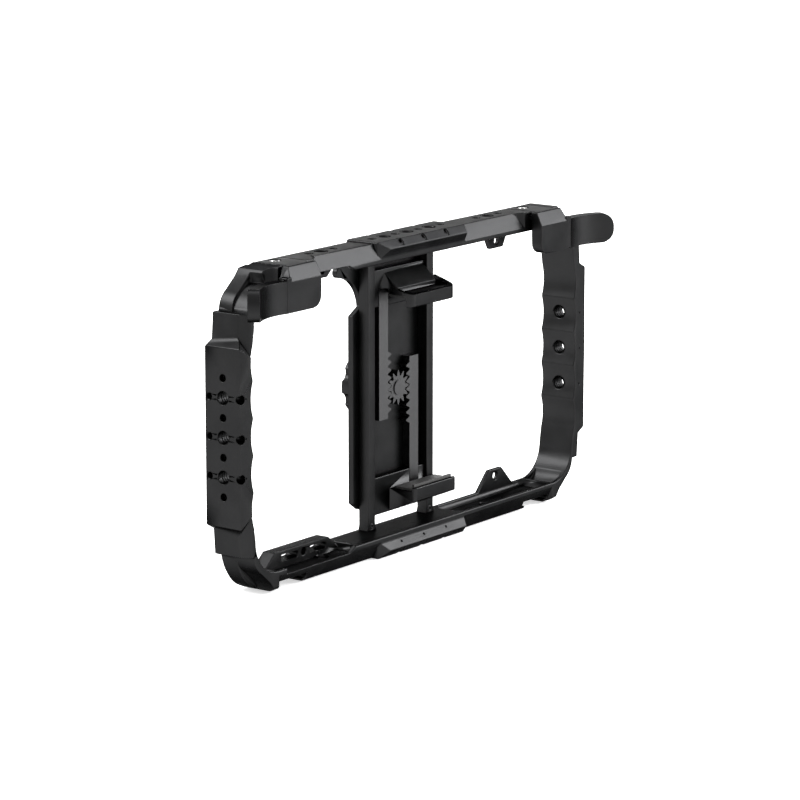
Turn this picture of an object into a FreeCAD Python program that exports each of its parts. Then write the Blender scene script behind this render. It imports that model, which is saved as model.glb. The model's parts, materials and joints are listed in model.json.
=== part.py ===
import FreeCAD, Part
import math
import os
from FreeCAD import Vector

# Phone cage: a one-piece machined ring with finger grips, a top and a bottom rail, two thumb
# rests held in shoe slots, and a clamp whose two jaws a knob at the back moves together.
# Millimetres. +Z up, -Y towards the user, +X to the user's right.
# The origin is the mouth of the middle thread in the bottom rail.

# Ring outline, seen from the front
RING_HEIGHT = 124.8
RING_DEPTH = 16.4
PAD_HALF_WIDTH = 115.0
PAD_FROM_END = 28.4
PAD_STEP = 3.8
PAD_STEP_RISE = 2.0
NECK_TAPER = 0.8
LEDGE = 3.4
LEDGE_Z = 16.4
RAIL_HEIGHT = 8.4
INNER_CORNER_R = 13.5

# Corner below the ledge, measured in from the inner side of the grip
BEND_IN = 3.9
BEND_Z = 8.9
BEND_BULGE = 1.1
SLANT_IN = 8.8
SLANT_Z = 4.8
TOE_IN = 10.9
TOE_Z = 2.2
HEEL_IN = 11.8
ROUND_FOOT_IN = 10.5
ROUND_FOOT_Z = 0.9
ROUND_FOOT_BULGE = 2.4

# Finger grips
GRIP_WALL = 8.0
GRIP_COUNT = 5
GRIP_END = 27.15
GRIP_DEPTH = 1.25
GRIP_RIDGE_R = 2.0
GRIP_TO_CORNER = 0.9

# Left corners, cut back from the outside
THIN_WALL = 1.6
UPPER_WEB_FRONT = 1.6
LOWER_WEB_FRONT = 0.7
BLOCK_SIDE = 11.8
BLOCK_SIDE_LEAN = 2.9
BLOCK_TOP_IN = 16.1
SCOOP_R = 4.2
NECK_CHAMFER_X = 3.2
NECK_CHAMFER_Y = 4.7

# Rail section
RAIL_INSET = 0.5
RAIL_OUTER_HALF = 5.4
RAIL_FLANK_HEIGHT = 6.7
RAIL_WALL = 1.8
FLANK_END_R = 8.0
CHANNEL_FLOOR = 5.3
CHANNEL_CORNER_R = 3.0
CHANNEL_LEFT = 42.0
CHANNEL_RIGHT = 28.0
CHANNEL_END_IN = 14.2
CHANNEL_SWEEP_IN = 12.9
CHANNEL_SWEEP_R = 8.3
LOW_WALL_HEIGHT = 6.2
LOW_WALL_START = 44.0
LOW_WALL_RAMP = 4.6

# Accessory flange in the middle of each rail
FLANGE_HALF_LENGTH = 29.0
FLANGE_OUTER_HALF = 7.4
FLANGE_WIDE_HALF = 10.2
FLANGE_WIDE_AT = 2.9
FLANGE_ROOT_AT = 5.8
FLANGE_TOP = 7.4
FLANGE_LEFT_BEVEL = 5.0
FLANGE_RIGHT_BEVEL = 1.8
NOTCH_WIDTH = 1.6
NOTCH_DEPTH = 1.3
NOTCH_TOP = 2.4

# Shoe slots in the rails' full-width bosses
SHOE_IN = 33.0
BOSS_HALF = 10.0
SHOE_MOUTH = 13.9
SHOE_WIDTH = 17.7
SHOE_LIP = 1.2
SHOE_GAP = 1.9

# Threads and locating holes
THREAD_R = 2.6
LOCATING_R = 1.5
LOCATING_SIDES = 12
HOLE_PITCH = 15.0
RAIL_THREAD_DEPTH = 6.4
LOCATING_DEPTH = 2.4
OUTER_THREAD_IN = 27.0
LEFT_LOCATING_Y = 7.8
RIGHT_LOCATING_Y = 6.6

# Tabs on the rear wall
TAB_IN = 10.6
TAB_TOP = 9.0
TAB_BASE = 25.0
TAB_RISE_LOW = 8.0
TAB_RISE_HIGH = 4.4
TAB_HOLE_DROP = 3.0
TAB_HOLE_R = 1.6
STRAP_IN = 17.2
STRAP_TOP = 33.6
STRAP_RISE = 3.2
STRAP_LEAN = 1.15
STRAP_THICK = 6.0
STRAP_SLOT_UP = 0.4
STRAP_SLOT_SHIFT = 1.1
STRAP_SLOT_LENGTH = 10.5
STRAP_SLOT_HEIGHT = 2.8
STRAP_SLOT_PITCH = 17.6
STRAP_HOLE_R = 1.4

# Thumb rests
REST_GAP = 1.2
REST_BLOCK_DEPTH = 5.0
REST_BLOCK_IN = 8.7
REST_BLOCK_OUT = 12.4
REST_NECK_OUT = 8.5
REST_NECK_LEAN = 2.0
REST_CHAMFER_DEPTH = 2.5
REST_CHAMFER = 5.3
REST_BOTTOM = 17.5
REST_CORNER_R = 4.5
REST_TIP_OUT = 37.3
REST_TIP_FORWARD = 6.4
REST_PADDLE_THICK = 4.0
REST_PADDLE_SAG = 0.28
REST_PADDLE_ROOT = 3.0
REST_PADDLE_TOP = 4.2
REST_PADDLE_BOTTOM = 17.0
REST_PADDLE_R = 5.5
REST_SCREW_R = 2.3
REST_SCREW_Y = 1.0
REST_SCREW_SINK = 0.3
FOOT_BACK_GAP = 3.0
SHOE_CLEAR = 0.12

# Clamp guide posts
POST_X = 19.5
POST_WIDTH = 4.4
POST_FRONT = 2.4
POST_DEPTH = 4.8
POST_FOOT_FLARE = 0.7
POST_FOOT_HEIGHT = 2.0
POST_SCREW_R = 1.1
POST_SCREW_UP = 1.7
POST_SCREW_DEPTH = 2.4
SCREW_SIDES = 12

# Jaws
UPPER_JAW_LEFT = 9.5
UPPER_CORNER_R = 4.0
LOWER_JAW_LEFT = 6.0
LOWER_CORNER_R = 1.5
JAW_RIGHT = 22.0
JAW_FRONT = 8.8
UPPER_SLOPE = 0.32
LOWER_SLOPE = 0.42
JAW_TOP_GAP = 5.2
JAW_BACK_GAP = 0.3
JAW_RIM = 1.6
DISH_BACK_RIM = 1.5
DISH_DEPTH = 1.6
TRAY_FLOOR = 0.8
BRIDGE_OVERLAP = 4.0
BRIDGE_REACH = 2.6
UPPER_RAMP_DROP = 15.4
UPPER_RIM_DROP = 23.3
UPPER_LIP = 4.9
UPPER_PAD_DROP = 24.6
UPPER_LIP_THICK = 2.2
LOWER_PAD_Z = 23.8
LOWER_LIP_LOW = 18.9
LOWER_LIP_HIGH = 24.2
LOWER_LIP_THICK = 1.6
PAD_THICK = 0.9
PAD_LIP = 0.9
PAD_INSET = 0.6
PAD_BACK_GAP = 0.6
PAD_OVERLAP = 0.1
UPPER_LIP_CLEAR = 0.4
LOWER_LIP_STAND = 1.1

# Rack and pinion
GEAR_MODULE = 1.0
PINION_TEETH = 12
PRESSURE_ANGLE = 25.0
ADDENDUM = 0.9
DEDENDUM = 1.2
BACKLASH = 0.16
FLANK_STEPS = 1
RACK_BACK = 13.0
RACK_BELOW_AXIS = 11.4
RACK_TEETH_BELOW = 10.0
RACK_TEETH_ABOVE = 17.0
RACK_FRONT_GAP = 1.2
RACK_PLATE_GAP = 0.2
TONGUE_RISE = 7.0
TONGUE_BACK = 1.6
NECK_DROP = 28.5
GUIDE_GAP = 0.15

# Clamp plate behind the posts
PLATE_HALF_WIDTH = 25.5
PLATE_THICK = 2.4
PLATE_END = 16.3
PLATE_NARROW_FROM = 30.8
PLATE_NARROW_TO = 26.8
PLATE_NECK_HALF = 18.4
PLATE_CUT_R = 14.6
PLATE_CUT_X = 34.6
PLATE_WING_X = 35.6
PLATE_WING_DROP = 14.7
PLATE_WING_HEIGHT = 4.3
PLATE_CHAMFER = 4.5
PLATE_SCREW_FROM_END = 34.0
PLATE_HOLE_R = 1.3
PLATE_HEAD_R = 2.1
PLATE_HEAD_HEIGHT = 1.5
PLATE_SHANK_R = 0.95
PLATE_SHANK_LENGTH = 5.6
POST_TAP_R = 1.0
POST_TAP_DEPTH = 3.6

# Knob
KNOB_R = 13.0
KNOB_THICK = 9.0
KNOB_FLUTES = 8
KNOB_FLUTE_R = 3.4
KNOB_FLUTE_BITE = 1.5
KNOB_SCREW_R = 3.4
KNOB_SCREW_SINK = 2.0
KNOB_BORE_DEPTH = 5.0
SHAFT_R = 3.0
SHAFT_INTO_KNOB = 4.9
BUSH_R = 4.6
BOSS_R = 8.0
BOSS_HEIGHT = 2.6
FIT = 0.05
WASHER_R = 5.6
WASHER_THICK = 0.8
KNOB_GAP = 0.1
PINION_FRONT_GAP = 1.4
SHAFT_FRONT_GAP = 1.0

MID_Z = RING_HEIGHT / 2
HALF_DEPTH = RING_DEPTH / 2
GRIP_CREST = PAD_HALF_WIDTH - GRIP_WALL
INNER_HALF = GRIP_CREST - GRIP_TO_CORNER
SHOE_X = PAD_HALF_WIDTH - SHOE_IN
PITCH_R = GEAR_MODULE * PINION_TEETH / 2
POST_BACK = POST_FRONT + POST_DEPTH
RACK_FACE = POST_BACK - RACK_PLATE_GAP
PLATE_BACK = POST_BACK + PLATE_THICK
KNOB_FACE = PLATE_BACK + BOSS_HEIGHT + WASHER_THICK + KNOB_GAP
NECK_LOW = RING_HEIGHT - NECK_DROP
BIG = 300.0


def box(x0, x1, y0, y1, z0, z1):
    return Part.makeBox(x1 - x0, y1 - y0, z1 - z0, Vector(x0, y0, z0))


def cylinder(radius, length, start, direction):
    return Part.makeCylinder(radius, length, Vector(*start), Vector(*direction))


def beyond(point, normal):
    """Everything on the side of a plane that its normal points to."""
    half = Part.makeBox(BIG, BIG, BIG, Vector(-BIG / 2, -BIG / 2, 0))
    turn = FreeCAD.Rotation(Vector(0, 0, 1), Vector(*normal))
    half.Placement = FreeCAD.Placement(Vector(*point), turn).multiply(half.Placement)
    return half


def pit(radius, length, start, direction, sides):
    """A small round hole or pin with few faces."""
    base = Vector(*start)
    axis = Vector(*direction)
    side = Vector(0, 1, 0) if abs(axis.y) < 0.5 else Vector(1, 0, 0)
    other = axis.cross(side)
    points = []
    for i in range(sides + 1):
        a = 2 * math.pi * (i + 0.5) / sides
        points.append(base + side * radius * math.cos(a) + other * radius * math.sin(a))
    return Part.Face(Part.makePolygon(points)).extrude(axis * length)


def flip_z(shape):
    """Mirror top for bottom about the ring's middle height."""
    return shape.mirror(Vector(0, 0, MID_Z), Vector(0, 0, 1))


def flip_x(shape):
    return shape.mirror(Vector(0, 0, 0), Vector(1, 0, 0))


def flip_y(shape):
    return shape.mirror(Vector(0, 0, 0), Vector(0, 1, 0))


def half_turn(shape):
    """Turn a shape half a turn about the pinion's axis."""
    copy = shape.copy()
    copy.rotate(Vector(0, 0, MID_Z), Vector(0, 1, 0), 180)
    return copy


def prism_xz(points, y0, y1):
    """Extrude a front-view outline from depth y0 to y1."""
    wire = Part.makePolygon([Vector(x, y0, z) for x, z in points + points[:1]])
    return Part.Face(wire).extrude(Vector(0, y1 - y0, 0))


def prism_yz(points, x0, x1):
    """Extrude a side-view outline from x0 to x1."""
    wire = Part.makePolygon([Vector(x0, y, z) for y, z in points + points[:1]])
    return Part.Face(wire).extrude(Vector(x1 - x0, 0, 0))


def prism_xy(points, z0, z1):
    """Extrude a plan outline from height z0 to z1."""
    wire = Part.makePolygon([Vector(x, y, z0) for x, y in points + points[:1]])
    return Part.Face(wire).extrude(Vector(0, 0, z1 - z0))


def line(a, b):
    return Part.LineSegment(Vector(*a), Vector(*b)).toShape()


def arc(a, middle, b):
    return Part.Arc(Vector(*a), Vector(*middle), Vector(*b)).toShape()


def bulged(a, b, bulge):
    """Arc from a to b in the front view, standing out by bulge on the left of its chord."""
    dx = b[0] - a[0]
    dz = b[2] - a[2]
    chord = math.hypot(dx, dz)
    x = (a[0] + b[0]) / 2 - dz / chord * bulge
    z = (a[2] + b[2]) / 2 + dx / chord * bulge
    return arc(a, (x, a[1], z), b)


def chain(points):
    return [line(a, b) for a, b in zip(points, points[1:])]


def face_of(edges):
    return Part.Face(Part.Wire(Part.__sortEdges__(edges)))


def fillet_some(shape, radius, wanted):
    edges = [e for e in shape.Edges if wanted(e)]
    return shape.makeFillet(radius, edges)


def along(edge, axis):
    """True where a straight edge runs along the axis."""
    if edge.Curve.TypeId != "Part::GeomLine":
        return False
    return abs(edge.tangentAt(edge.FirstParameter).dot(Vector(*axis))) > 0.999


def middle_of(edge):
    return edge.valueAt((edge.FirstParameter + edge.LastParameter) / 2)


# Ring

def ledge_corner(y):
    return (PAD_HALF_WIDTH - PAD_STEP - NECK_TAPER - LEDGE, y, LEDGE_Z)


def bent_corner(y):
    """The corner's outer side below the ledge: round, then slanting to a small toe."""
    bend = (INNER_HALF - BEND_IN, y, BEND_Z)
    slant = (INNER_HALF - SLANT_IN, y, SLANT_Z)
    toe = (INNER_HALF - TOE_IN, y, TOE_Z)
    return [bulged(ledge_corner(y), bend, BEND_BULGE)] + chain([bend, slant, toe])


def heel(y):
    return (INNER_HALF - HEEL_IN, y, RAIL_INSET)


def bent_outer_corner(y):
    return bent_corner(y) + [line((INNER_HALF - TOE_IN, y, TOE_Z), heel(y))]


def round_outer_corner(y):
    foot = (INNER_HALF - ROUND_FOOT_IN, y, ROUND_FOOT_Z)
    return [bulged(ledge_corner(y), foot, ROUND_FOOT_BULGE), line(foot, heel(y))]


def outer_side(y):
    """The outer outline from the middle of the right grip down to the ledge."""
    neck_x = PAD_HALF_WIDTH - PAD_STEP
    return chain([
        (PAD_HALF_WIDTH, y, MID_Z),
        (PAD_HALF_WIDTH, y, PAD_FROM_END),
        (neck_x, y, PAD_FROM_END - PAD_STEP_RISE),
        (neck_x - NECK_TAPER, y, LEDGE_Z),
        ledge_corner(y),
    ])


def outer_quarter(corner):
    y = -HALF_DEPTH
    return outer_side(y) + corner(y) + [line(heel(y), (0, y, RAIL_INSET))]


def outer_outline():
    """Every corner is bent, but for the lower left one, which is round."""
    bent = outer_quarter(bent_outer_corner)
    edges = bent + [flip_z(e) for e in bent] + [flip_x(flip_z(e)) for e in bent]
    edges += [flip_x(e) for e in outer_quarter(round_outer_corner)]
    return edges


def grip_pitch():
    return (RING_HEIGHT - 2 * GRIP_END) / GRIP_COUNT


def grip_scallops():
    """The finger grips' edge, from the lowest hollow to the highest, on the right side."""
    y = -HALF_DEPTH
    half = grip_pitch() / 2
    centres = (half * half + GRIP_DEPTH * GRIP_DEPTH) / (2 * GRIP_DEPTH)
    hollow_r = centres - GRIP_RIDGE_R
    hollow_x = GRIP_CREST + GRIP_DEPTH - hollow_r
    ridge_x = GRIP_CREST + GRIP_RIDGE_R
    share = hollow_r / centres
    touch_x = hollow_x + (ridge_x - hollow_x) * share
    touch_z = half * share
    edges = []
    first = GRIP_END + half
    for i in range(GRIP_COUNT):
        z = first + i * grip_pitch()
        low = (touch_x, y, z - touch_z)
        high = (touch_x, y, z + touch_z)
        edges.append(arc(low, (GRIP_CREST + GRIP_DEPTH, y, z), high))
        if i < GRIP_COUNT - 1:
            next_low = (touch_x, y, z + grip_pitch() - touch_z)
            edges.append(arc(high, (GRIP_CREST, y, z + half), next_low))
    return edges, (touch_x, y, first - touch_z)


def inner_outline():
    y = -HALF_DEPTH
    scallops, start = grip_scallops()
    centre_x = INNER_HALF - INNER_CORNER_R
    centre_z = RAIL_HEIGHT + INNER_CORNER_R
    reach = INNER_CORNER_R * math.sqrt(0.5)
    grip_end = (INNER_HALF, y, centre_z)
    turn = (centre_x + reach, y, centre_z - reach)
    rail_end = (centre_x, y, RAIL_HEIGHT)
    lower = [line(start, grip_end), arc(grip_end, turn, rail_end), line(rail_end, (0, y, RAIL_HEIGHT))]
    right = scallops + lower + [flip_z(e) for e in lower]
    return right + [flip_x(e) for e in right]


def ring_blank():
    solid = face_of(outer_outline()).extrude(Vector(0, RING_DEPTH, 0))
    hole = face_of(inner_outline()).extrude(Vector(0, RING_DEPTH, 0))
    return solid.cut(hole)


def flank_cut(height, half_length):
    """A wedge off the front edge of the bottom rail."""
    out = HALF_DEPTH + FLANK_END_R
    return prism_yz(
        [(-out, -1), (-RAIL_OUTER_HALF, -1), (-RAIL_OUTER_HALF, RAIL_INSET), (-HALF_DEPTH, height),
         (-out, height)], -half_length, half_length)


def boss_flank_cut():
    """The wedge between the shoe slots' bosses only, with a round run-out at each boss."""
    run_out = SHOE_X - BOSS_HALF - FLANK_END_R
    plan = box(-run_out, run_out, -BIG, 0, -1, LEDGE_Z)
    for side in (-1, 1):
        centre = (side * run_out, -RAIL_OUTER_HALF - FLANK_END_R, -1)
        plan = plan.fuse(cylinder(FLANK_END_R, LEDGE_Z, centre, (0, 0, 1)))
    return flank_cut(RAIL_FLANK_HEIGHT, SHOE_X).common(plan)


def flank_cuts():
    """Slopes both sides of both rails, steeper past the shoe slots."""
    long = flank_cut(RAIL_FLANK_HEIGHT, SHOE_X + BOSS_HALF)
    steep = flank_cut(TOE_Z, PAD_HALF_WIDTH)
    rear = [flip_y(long), flip_y(steep)]
    return [long, steep, flip_z(boss_flank_cut())] + rear + [flip_z(c) for c in rear]


def flange():
    """The accessory flange under the bottom rail, bevelled at its ends and notched against slipping."""
    half = [(HALF_DEPTH, FLANGE_TOP), (HALF_DEPTH, FLANGE_ROOT_AT), (FLANGE_WIDE_HALF, FLANGE_WIDE_AT),
            (FLANGE_OUTER_HALF, 0)]
    section = half + [(-y, z) for y, z in reversed(half)]
    end = FLANGE_HALF_LENGTH
    left = FLANGE_LEFT_BEVEL - end
    right = end - FLANGE_RIGHT_BEVEL
    side = [(-end, FLANGE_OUTER_HALF), (left, FLANGE_WIDE_HALF), (right, FLANGE_WIDE_HALF),
            (end, FLANGE_OUTER_HALF)]
    plan = prism_xy(side + [(x, -y) for x, y in reversed(side)], -1, MID_Z)
    solid = prism_yz(section, -end, end).common(plan)
    for x in (-HOLE_PITCH, 0, HOLE_PITCH):
        inner = NOTCH_DEPTH - FLANGE_WIDE_HALF
        notch = box(x - NOTCH_WIDTH / 2, x + NOTCH_WIDTH / 2, -BIG, inner, -1, NOTCH_TOP)
        solid = solid.cut([notch, flip_y(notch)])
    return solid


def shoe_slot(x):
    """A T slot through the bottom rail's underside, open at the front and the rear."""
    lip = RAIL_INSET + SHOE_LIP
    mouth = box(x - SHOE_MOUTH / 2, x + SHOE_MOUTH / 2, -BIG, BIG, -1, lip)
    inside = box(x - SHOE_WIDTH / 2, x + SHOE_WIDTH / 2, -BIG, BIG, lip, lip + SHOE_GAP)
    return mouth.fuse(inside)


def channel(start):
    """A pocket milled into the bottom rail from inside the ring."""
    y = HALF_DEPTH - RAIL_WALL
    pocket = box(start, INNER_HALF - CHANNEL_END_IN, -y, y, CHANNEL_FLOOR, MID_Z)
    return fillet_some(pocket, CHANNEL_CORNER_R, lambda e: along(e, (0, 0, 1)) and middle_of(e).x < start + 1)


def channel_sweep():
    """The pocket's round rise into the corner."""
    y = HALF_DEPTH - RAIL_WALL
    x = INNER_HALF - CHANNEL_SWEEP_IN
    z = CHANNEL_FLOOR + CHANNEL_SWEEP_R
    sweep = cylinder(CHANNEL_SWEEP_R, 2 * y, (x, -y, z), (0, 1, 0))
    return sweep.common(box(x, INNER_HALF, -y, y, CHANNEL_FLOOR, z))


def low_wall_cut():
    """Takes down the front wall of the left channel."""
    start = -LOW_WALL_START
    end = -(SHOE_X + BOSS_HALF / 2)
    points = [(start, RAIL_HEIGHT + 1), (start, RAIL_HEIGHT), (start - LOW_WALL_RAMP, LOW_WALL_HEIGHT),
              (end, LOW_WALL_HEIGHT), (end, RAIL_HEIGHT + 1)]
    return prism_xz(points, -HALF_DEPTH - 1, RAIL_WALL - HALF_DEPTH)


def upper_recess():
    """Hollows a corner out to a thin inner wall, in front of a web at the rear."""
    y = -HALF_DEPTH - 1
    x = INNER_HALF - INNER_CORNER_R
    z = RAIL_HEIGHT + INNER_CORNER_R
    side = INNER_HALF - BLOCK_SIDE
    out = PAD_HALF_WIDTH + 1
    points = [(side + BLOCK_SIDE_LEAN, -1), (side, RAIL_HEIGHT), (side, LEDGE_Z), (out, LEDGE_Z), (out, -1)]
    hollow = prism_xz(points, y, UPPER_WEB_FRONT)
    return hollow.cut(cylinder(INNER_CORNER_R + THIN_WALL, BIG, (x, y - 1, z), (0, 1, 0)))


def block_top_slope():
    """Slopes the rail's face down to the corner's toe."""
    start = INNER_HALF - BLOCK_TOP_IN
    end = INNER_HALF - TOE_IN
    return prism_xz([(start, RAIL_INSET), (end, TOE_Z), (end, -1), (start, -1)], -BIG / 2, BIG / 2)


def lower_recess():
    """Cuts a round corner back to the bent outline, in front of a web at the rear."""
    y = -HALF_DEPTH - 1
    out = PAD_HALF_WIDTH + 1
    toe = (INNER_HALF - TOE_IN, y, TOE_Z)
    rest = chain([toe, (toe[0], y, -1), (out, y, -1), (out, y, LEDGE_Z), ledge_corner(y)])
    return face_of(bent_corner(y) + rest).extrude(Vector(0, LOWER_WEB_FRONT - y, 0))


def block_scoop():
    """A round hollow in front of the shoe slot's boss, on its corner side."""
    x = SHOE_X + BOSS_HALF + SCOOP_R
    y = -HALF_DEPTH
    hollow = cylinder(SCOOP_R, RAIL_FLANK_HEIGHT + 1, (x, y, -1), (0, 0, 1))
    beside = box(x, x + SCOOP_R, y - 1, y + SCOOP_R, -1, RAIL_FLANK_HEIGHT - 1)
    return hollow.fuse(beside)


def neck_chamfer():
    """Bevels the front of the neck between grip and corner, with a slanted run-out at the grip."""
    front = -HALF_DEPTH
    neck_x = PAD_HALF_WIDTH - PAD_STEP
    side = beyond((neck_x, front + NECK_CHAMFER_Y, 0), (NECK_CHAMFER_Y, -NECK_CHAMFER_X, 0))
    low = Vector(neck_x, front + NECK_CHAMFER_Y, PAD_FROM_END - NECK_CHAMFER_Y)
    outer = Vector(PAD_HALF_WIDTH, front, PAD_FROM_END)
    inner = Vector(GRIP_CREST, front, PAD_FROM_END + NECK_CHAMFER_Y)
    normal = (inner - outer).cross(low - outer)
    ramp = beyond(outer, normal)
    region = box(GRIP_CREST - PAD_STEP, PAD_HALF_WIDTH + 1, front - 1, 0, LEDGE_Z, MID_Z)
    region = region.fuse(box(INNER_HALF - 1, PAD_HALF_WIDTH + 1, front - 1, 0, LEDGE_Z - 1, LEDGE_Z))
    return region.common(side).common(ramp)


def left_corner_cuts():
    """The cuts of the two left corners; the right ones keep their full depth."""
    upper = [upper_recess(), block_scoop(), block_top_slope(), neck_chamfer()]
    lower = [lower_recess(), neck_chamfer()]
    return [flip_x(flip_z(c)) for c in upper] + [flip_x(c) for c in lower]


def grip_holes(locating_y):
    """Threads through the right grip with locating holes round them."""
    cuts = []
    x0 = GRIP_CREST - 1
    length = GRIP_WALL + 2
    pit_x = PAD_HALF_WIDTH - LOCATING_DEPTH
    for i in (-1, 0, 1):
        z = MID_Z + i * HOLE_PITCH
        cuts.append(cylinder(THREAD_R, length, (x0, 0, z), (1, 0, 0)))
        for side in (-1, 1):
            start = (pit_x, side * locating_y, z)
            cuts.append(pit(LOCATING_R, length, start, (1, 0, 0), LOCATING_SIDES))
    for i in (-1.5, -0.5, 0.5, 1.5):
        start = (pit_x, 0, MID_Z + i * HOLE_PITCH)
        cuts.append(pit(LOCATING_R, length, start, (1, 0, 0), LOCATING_SIDES))
    return cuts


def rail_holes():
    """Threads and locating holes in the underside of the bottom rail."""
    cuts = []
    for x in (-HOLE_PITCH, 0, HOLE_PITCH):
        cuts.append(cylinder(THREAD_R, RAIL_THREAD_DEPTH, (x, 0, 0), (0, 0, 1)))
    for side in (-1, 1):
        x = side * (SHOE_X - OUTER_THREAD_IN)
        cuts.append(cylinder(THREAD_R, RAIL_HEIGHT, (x, 0, 0), (0, 0, 1)))
        near = [x - HOLE_PITCH / 2, x + HOLE_PITCH / 2, side * HOLE_PITCH / 2, side * HOLE_PITCH * 1.5]
        for x1 in near:
            cuts.append(pit(LOCATING_R, LOCATING_DEPTH, (x1, 0, 0), (0, 0, 1), LOCATING_SIDES))
    return cuts


def rear_tab(rise):
    """A drilled tab on the rear wall of the bottom rail, right side."""
    x = SHOE_X - TAB_IN
    half = TAB_TOP / 2
    slope = (TAB_BASE - TAB_TOP) / 2 / TAB_RISE_LOW
    top = RAIL_HEIGHT + rise
    root = RAIL_HEIGHT - 1
    spread = slope * (rise + 1)
    points = [(x - half - spread, root), (x + half + spread, root), (x + half, top), (x - half, top)]
    tab = prism_xz(points, HALF_DEPTH - RAIL_WALL, HALF_DEPTH)
    return tab, cylinder(TAB_HOLE_R, BIG, (x, 0, top - TAB_HOLE_DROP), (0, 1, 0))


def strap_tab():
    """The thick tab with two strap slots on the rear of the bottom rail, left side."""
    x = STRAP_IN - SHOE_X
    half = STRAP_TOP / 2
    top = RAIL_HEIGHT + STRAP_RISE
    root = CHANNEL_FLOOR - 1
    spread = STRAP_LEAN * (top - root)
    points = [(x - half, top), (x + half, top), (x + half + spread, root), (x - half - spread, root)]
    return prism_xz(points, HALF_DEPTH - STRAP_THICK, HALF_DEPTH)


def strap_slots():
    """Cuts through the strap tab: two slots with a small hole between them."""
    z = RAIL_HEIGHT + STRAP_SLOT_UP
    centre = STRAP_IN + STRAP_SLOT_SHIFT - SHOE_X
    r = STRAP_SLOT_HEIGHT / 2
    reach = STRAP_SLOT_LENGTH / 2 - r
    cuts = [pit(STRAP_HOLE_R, BIG, (centre, 0, z), (0, 1, 0), LOCATING_SIDES)]
    for side in (-1, 1):
        x = centre + side * STRAP_SLOT_PITCH / 2
        slot = box(x - reach, x + reach, 0, BIG, z - r, z + r)
        ends = [pit(r, BIG, (x + end, 0, z), (0, 1, 0), LOCATING_SIDES) for end in (-reach, reach)]
        cuts.append(slot.fuse(ends))
    return cuts


def cage_frame():
    """The whole machined ring."""
    both = [channel(CHANNEL_RIGHT), flip_x(channel(CHANNEL_LEFT)), channel_sweep(), low_wall_cut()]
    cuts = flank_cuts() + both + [flip_z(c) for c in both] + [flip_x(channel_sweep())]
    ring = ring_blank().cut(cuts + left_corner_cuts())
    low_tab, low_hole = rear_tab(TAB_RISE_LOW)
    high_tab, high_hole = rear_tab(TAB_RISE_HIGH)
    adds = [flange(), flip_z(flange()), strap_tab(), flip_z(strap_tab()), low_tab, flip_z(high_tab)]
    ring = ring.fuse(adds)
    late = [shoe_slot(SHOE_X), shoe_slot(-SHOE_X)] + rail_holes() + strap_slots()
    late += [flip_z(c) for c in late]
    late += grip_holes(RIGHT_LOCATING_Y) + [flip_x(c) for c in grip_holes(LEFT_LOCATING_Y)]
    ring = ring.cut(late + [low_hole, flip_z(high_hole)])
    return ring.removeSplitter()


# Thumb rests

def rest_front():
    return -HALF_DEPTH - REST_GAP - REST_BLOCK_DEPTH


def rest_block():
    """The block that stands in front of the rail, with its sloped top and its leaning neck."""
    front = rest_front()
    back = -HALF_DEPTH - REST_GAP
    x0 = SHOE_X - REST_BLOCK_IN
    x1 = SHOE_X + REST_BLOCK_OUT
    neck = SHOE_X + REST_NECK_OUT
    top = RING_HEIGHT - RAIL_INSET
    bottom = RING_HEIGHT - REST_BOTTOM
    waist = top - REST_CHAMFER
    side = [(back, top), (front + REST_CHAMFER_DEPTH, top), (front, waist), (front, bottom), (back, bottom)]
    block = prism_yz(side, x0, x1)
    trim = prism_xz([(neck, top + 1), (neck, top), (neck + REST_NECK_LEAN, waist), (x1 + 1, waist),
                     (x1 + 1, top + 1)], front - 1, back + 1)
    block = block.cut(trim)
    wanted = lambda e: along(e, (0, 1, 0)) and middle_of(e).z < bottom + 1 and middle_of(e).x < x0 + 1
    return fillet_some(block, REST_CORNER_R, wanted)


def rest_paddle():
    """The curved paddle, swept outwards from the block and rounded at its tip."""
    front = rest_front()
    root = SHOE_X + REST_BLOCK_OUT - REST_PADDLE_ROOT
    tip = SHOE_X + REST_TIP_OUT
    tip_y = front - REST_TIP_FORWARD
    top = RING_HEIGHT - REST_PADDLE_TOP
    bottom = RING_HEIGHT - REST_PADDLE_BOTTOM
    thick = REST_PADDLE_THICK
    mid = (root + tip) / 2
    sag = REST_TIP_FORWARD * REST_PADDLE_SAG
    lean = thick * 2 * REST_TIP_FORWARD / (tip - root)
    near = arc((root, front, bottom), (mid, front - sag, bottom), (tip, tip_y, bottom))
    end = line((tip, tip_y, bottom), (tip + lean, tip_y + thick, bottom))
    far = arc((tip + lean, tip_y + thick, bottom), (mid + lean / 2, front - sag + thick, bottom),
              (root, front + thick, bottom))
    close = line((root, front + thick, bottom), (root, front, bottom))
    solid = Part.Face(Part.Wire([near, end, far, close])).extrude(Vector(0, 0, top - bottom))
    window = box(root - 1, tip + lean, tip_y - 1, front + thick + 1, bottom, top)
    window = fillet_some(window, REST_PADDLE_R, lambda e: along(e, (0, 1, 0)) and middle_of(e).x > mid)
    return solid.common(window)


def rest_foot():
    """The foot that slides in the shoe slot, and the neck that joins it to the block."""
    top = RING_HEIGHT - RAIL_INSET
    lip = top - SHOE_LIP - SHOE_CLEAR
    floor = top - SHOE_LIP - SHOE_GAP + SHOE_CLEAR
    half_foot = SHOE_WIDTH / 2 - SHOE_CLEAR
    half_neck = SHOE_MOUTH / 2 - SHOE_CLEAR
    back = -HALF_DEPTH - REST_GAP
    foot = box(SHOE_X - half_foot, SHOE_X + half_foot, back, HALF_DEPTH - FOOT_BACK_GAP, floor, lip)
    neck = box(SHOE_X - half_neck, SHOE_X + half_neck, back, HALF_DEPTH - FOOT_BACK_GAP, floor, top)
    return foot.fuse(neck)


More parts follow.
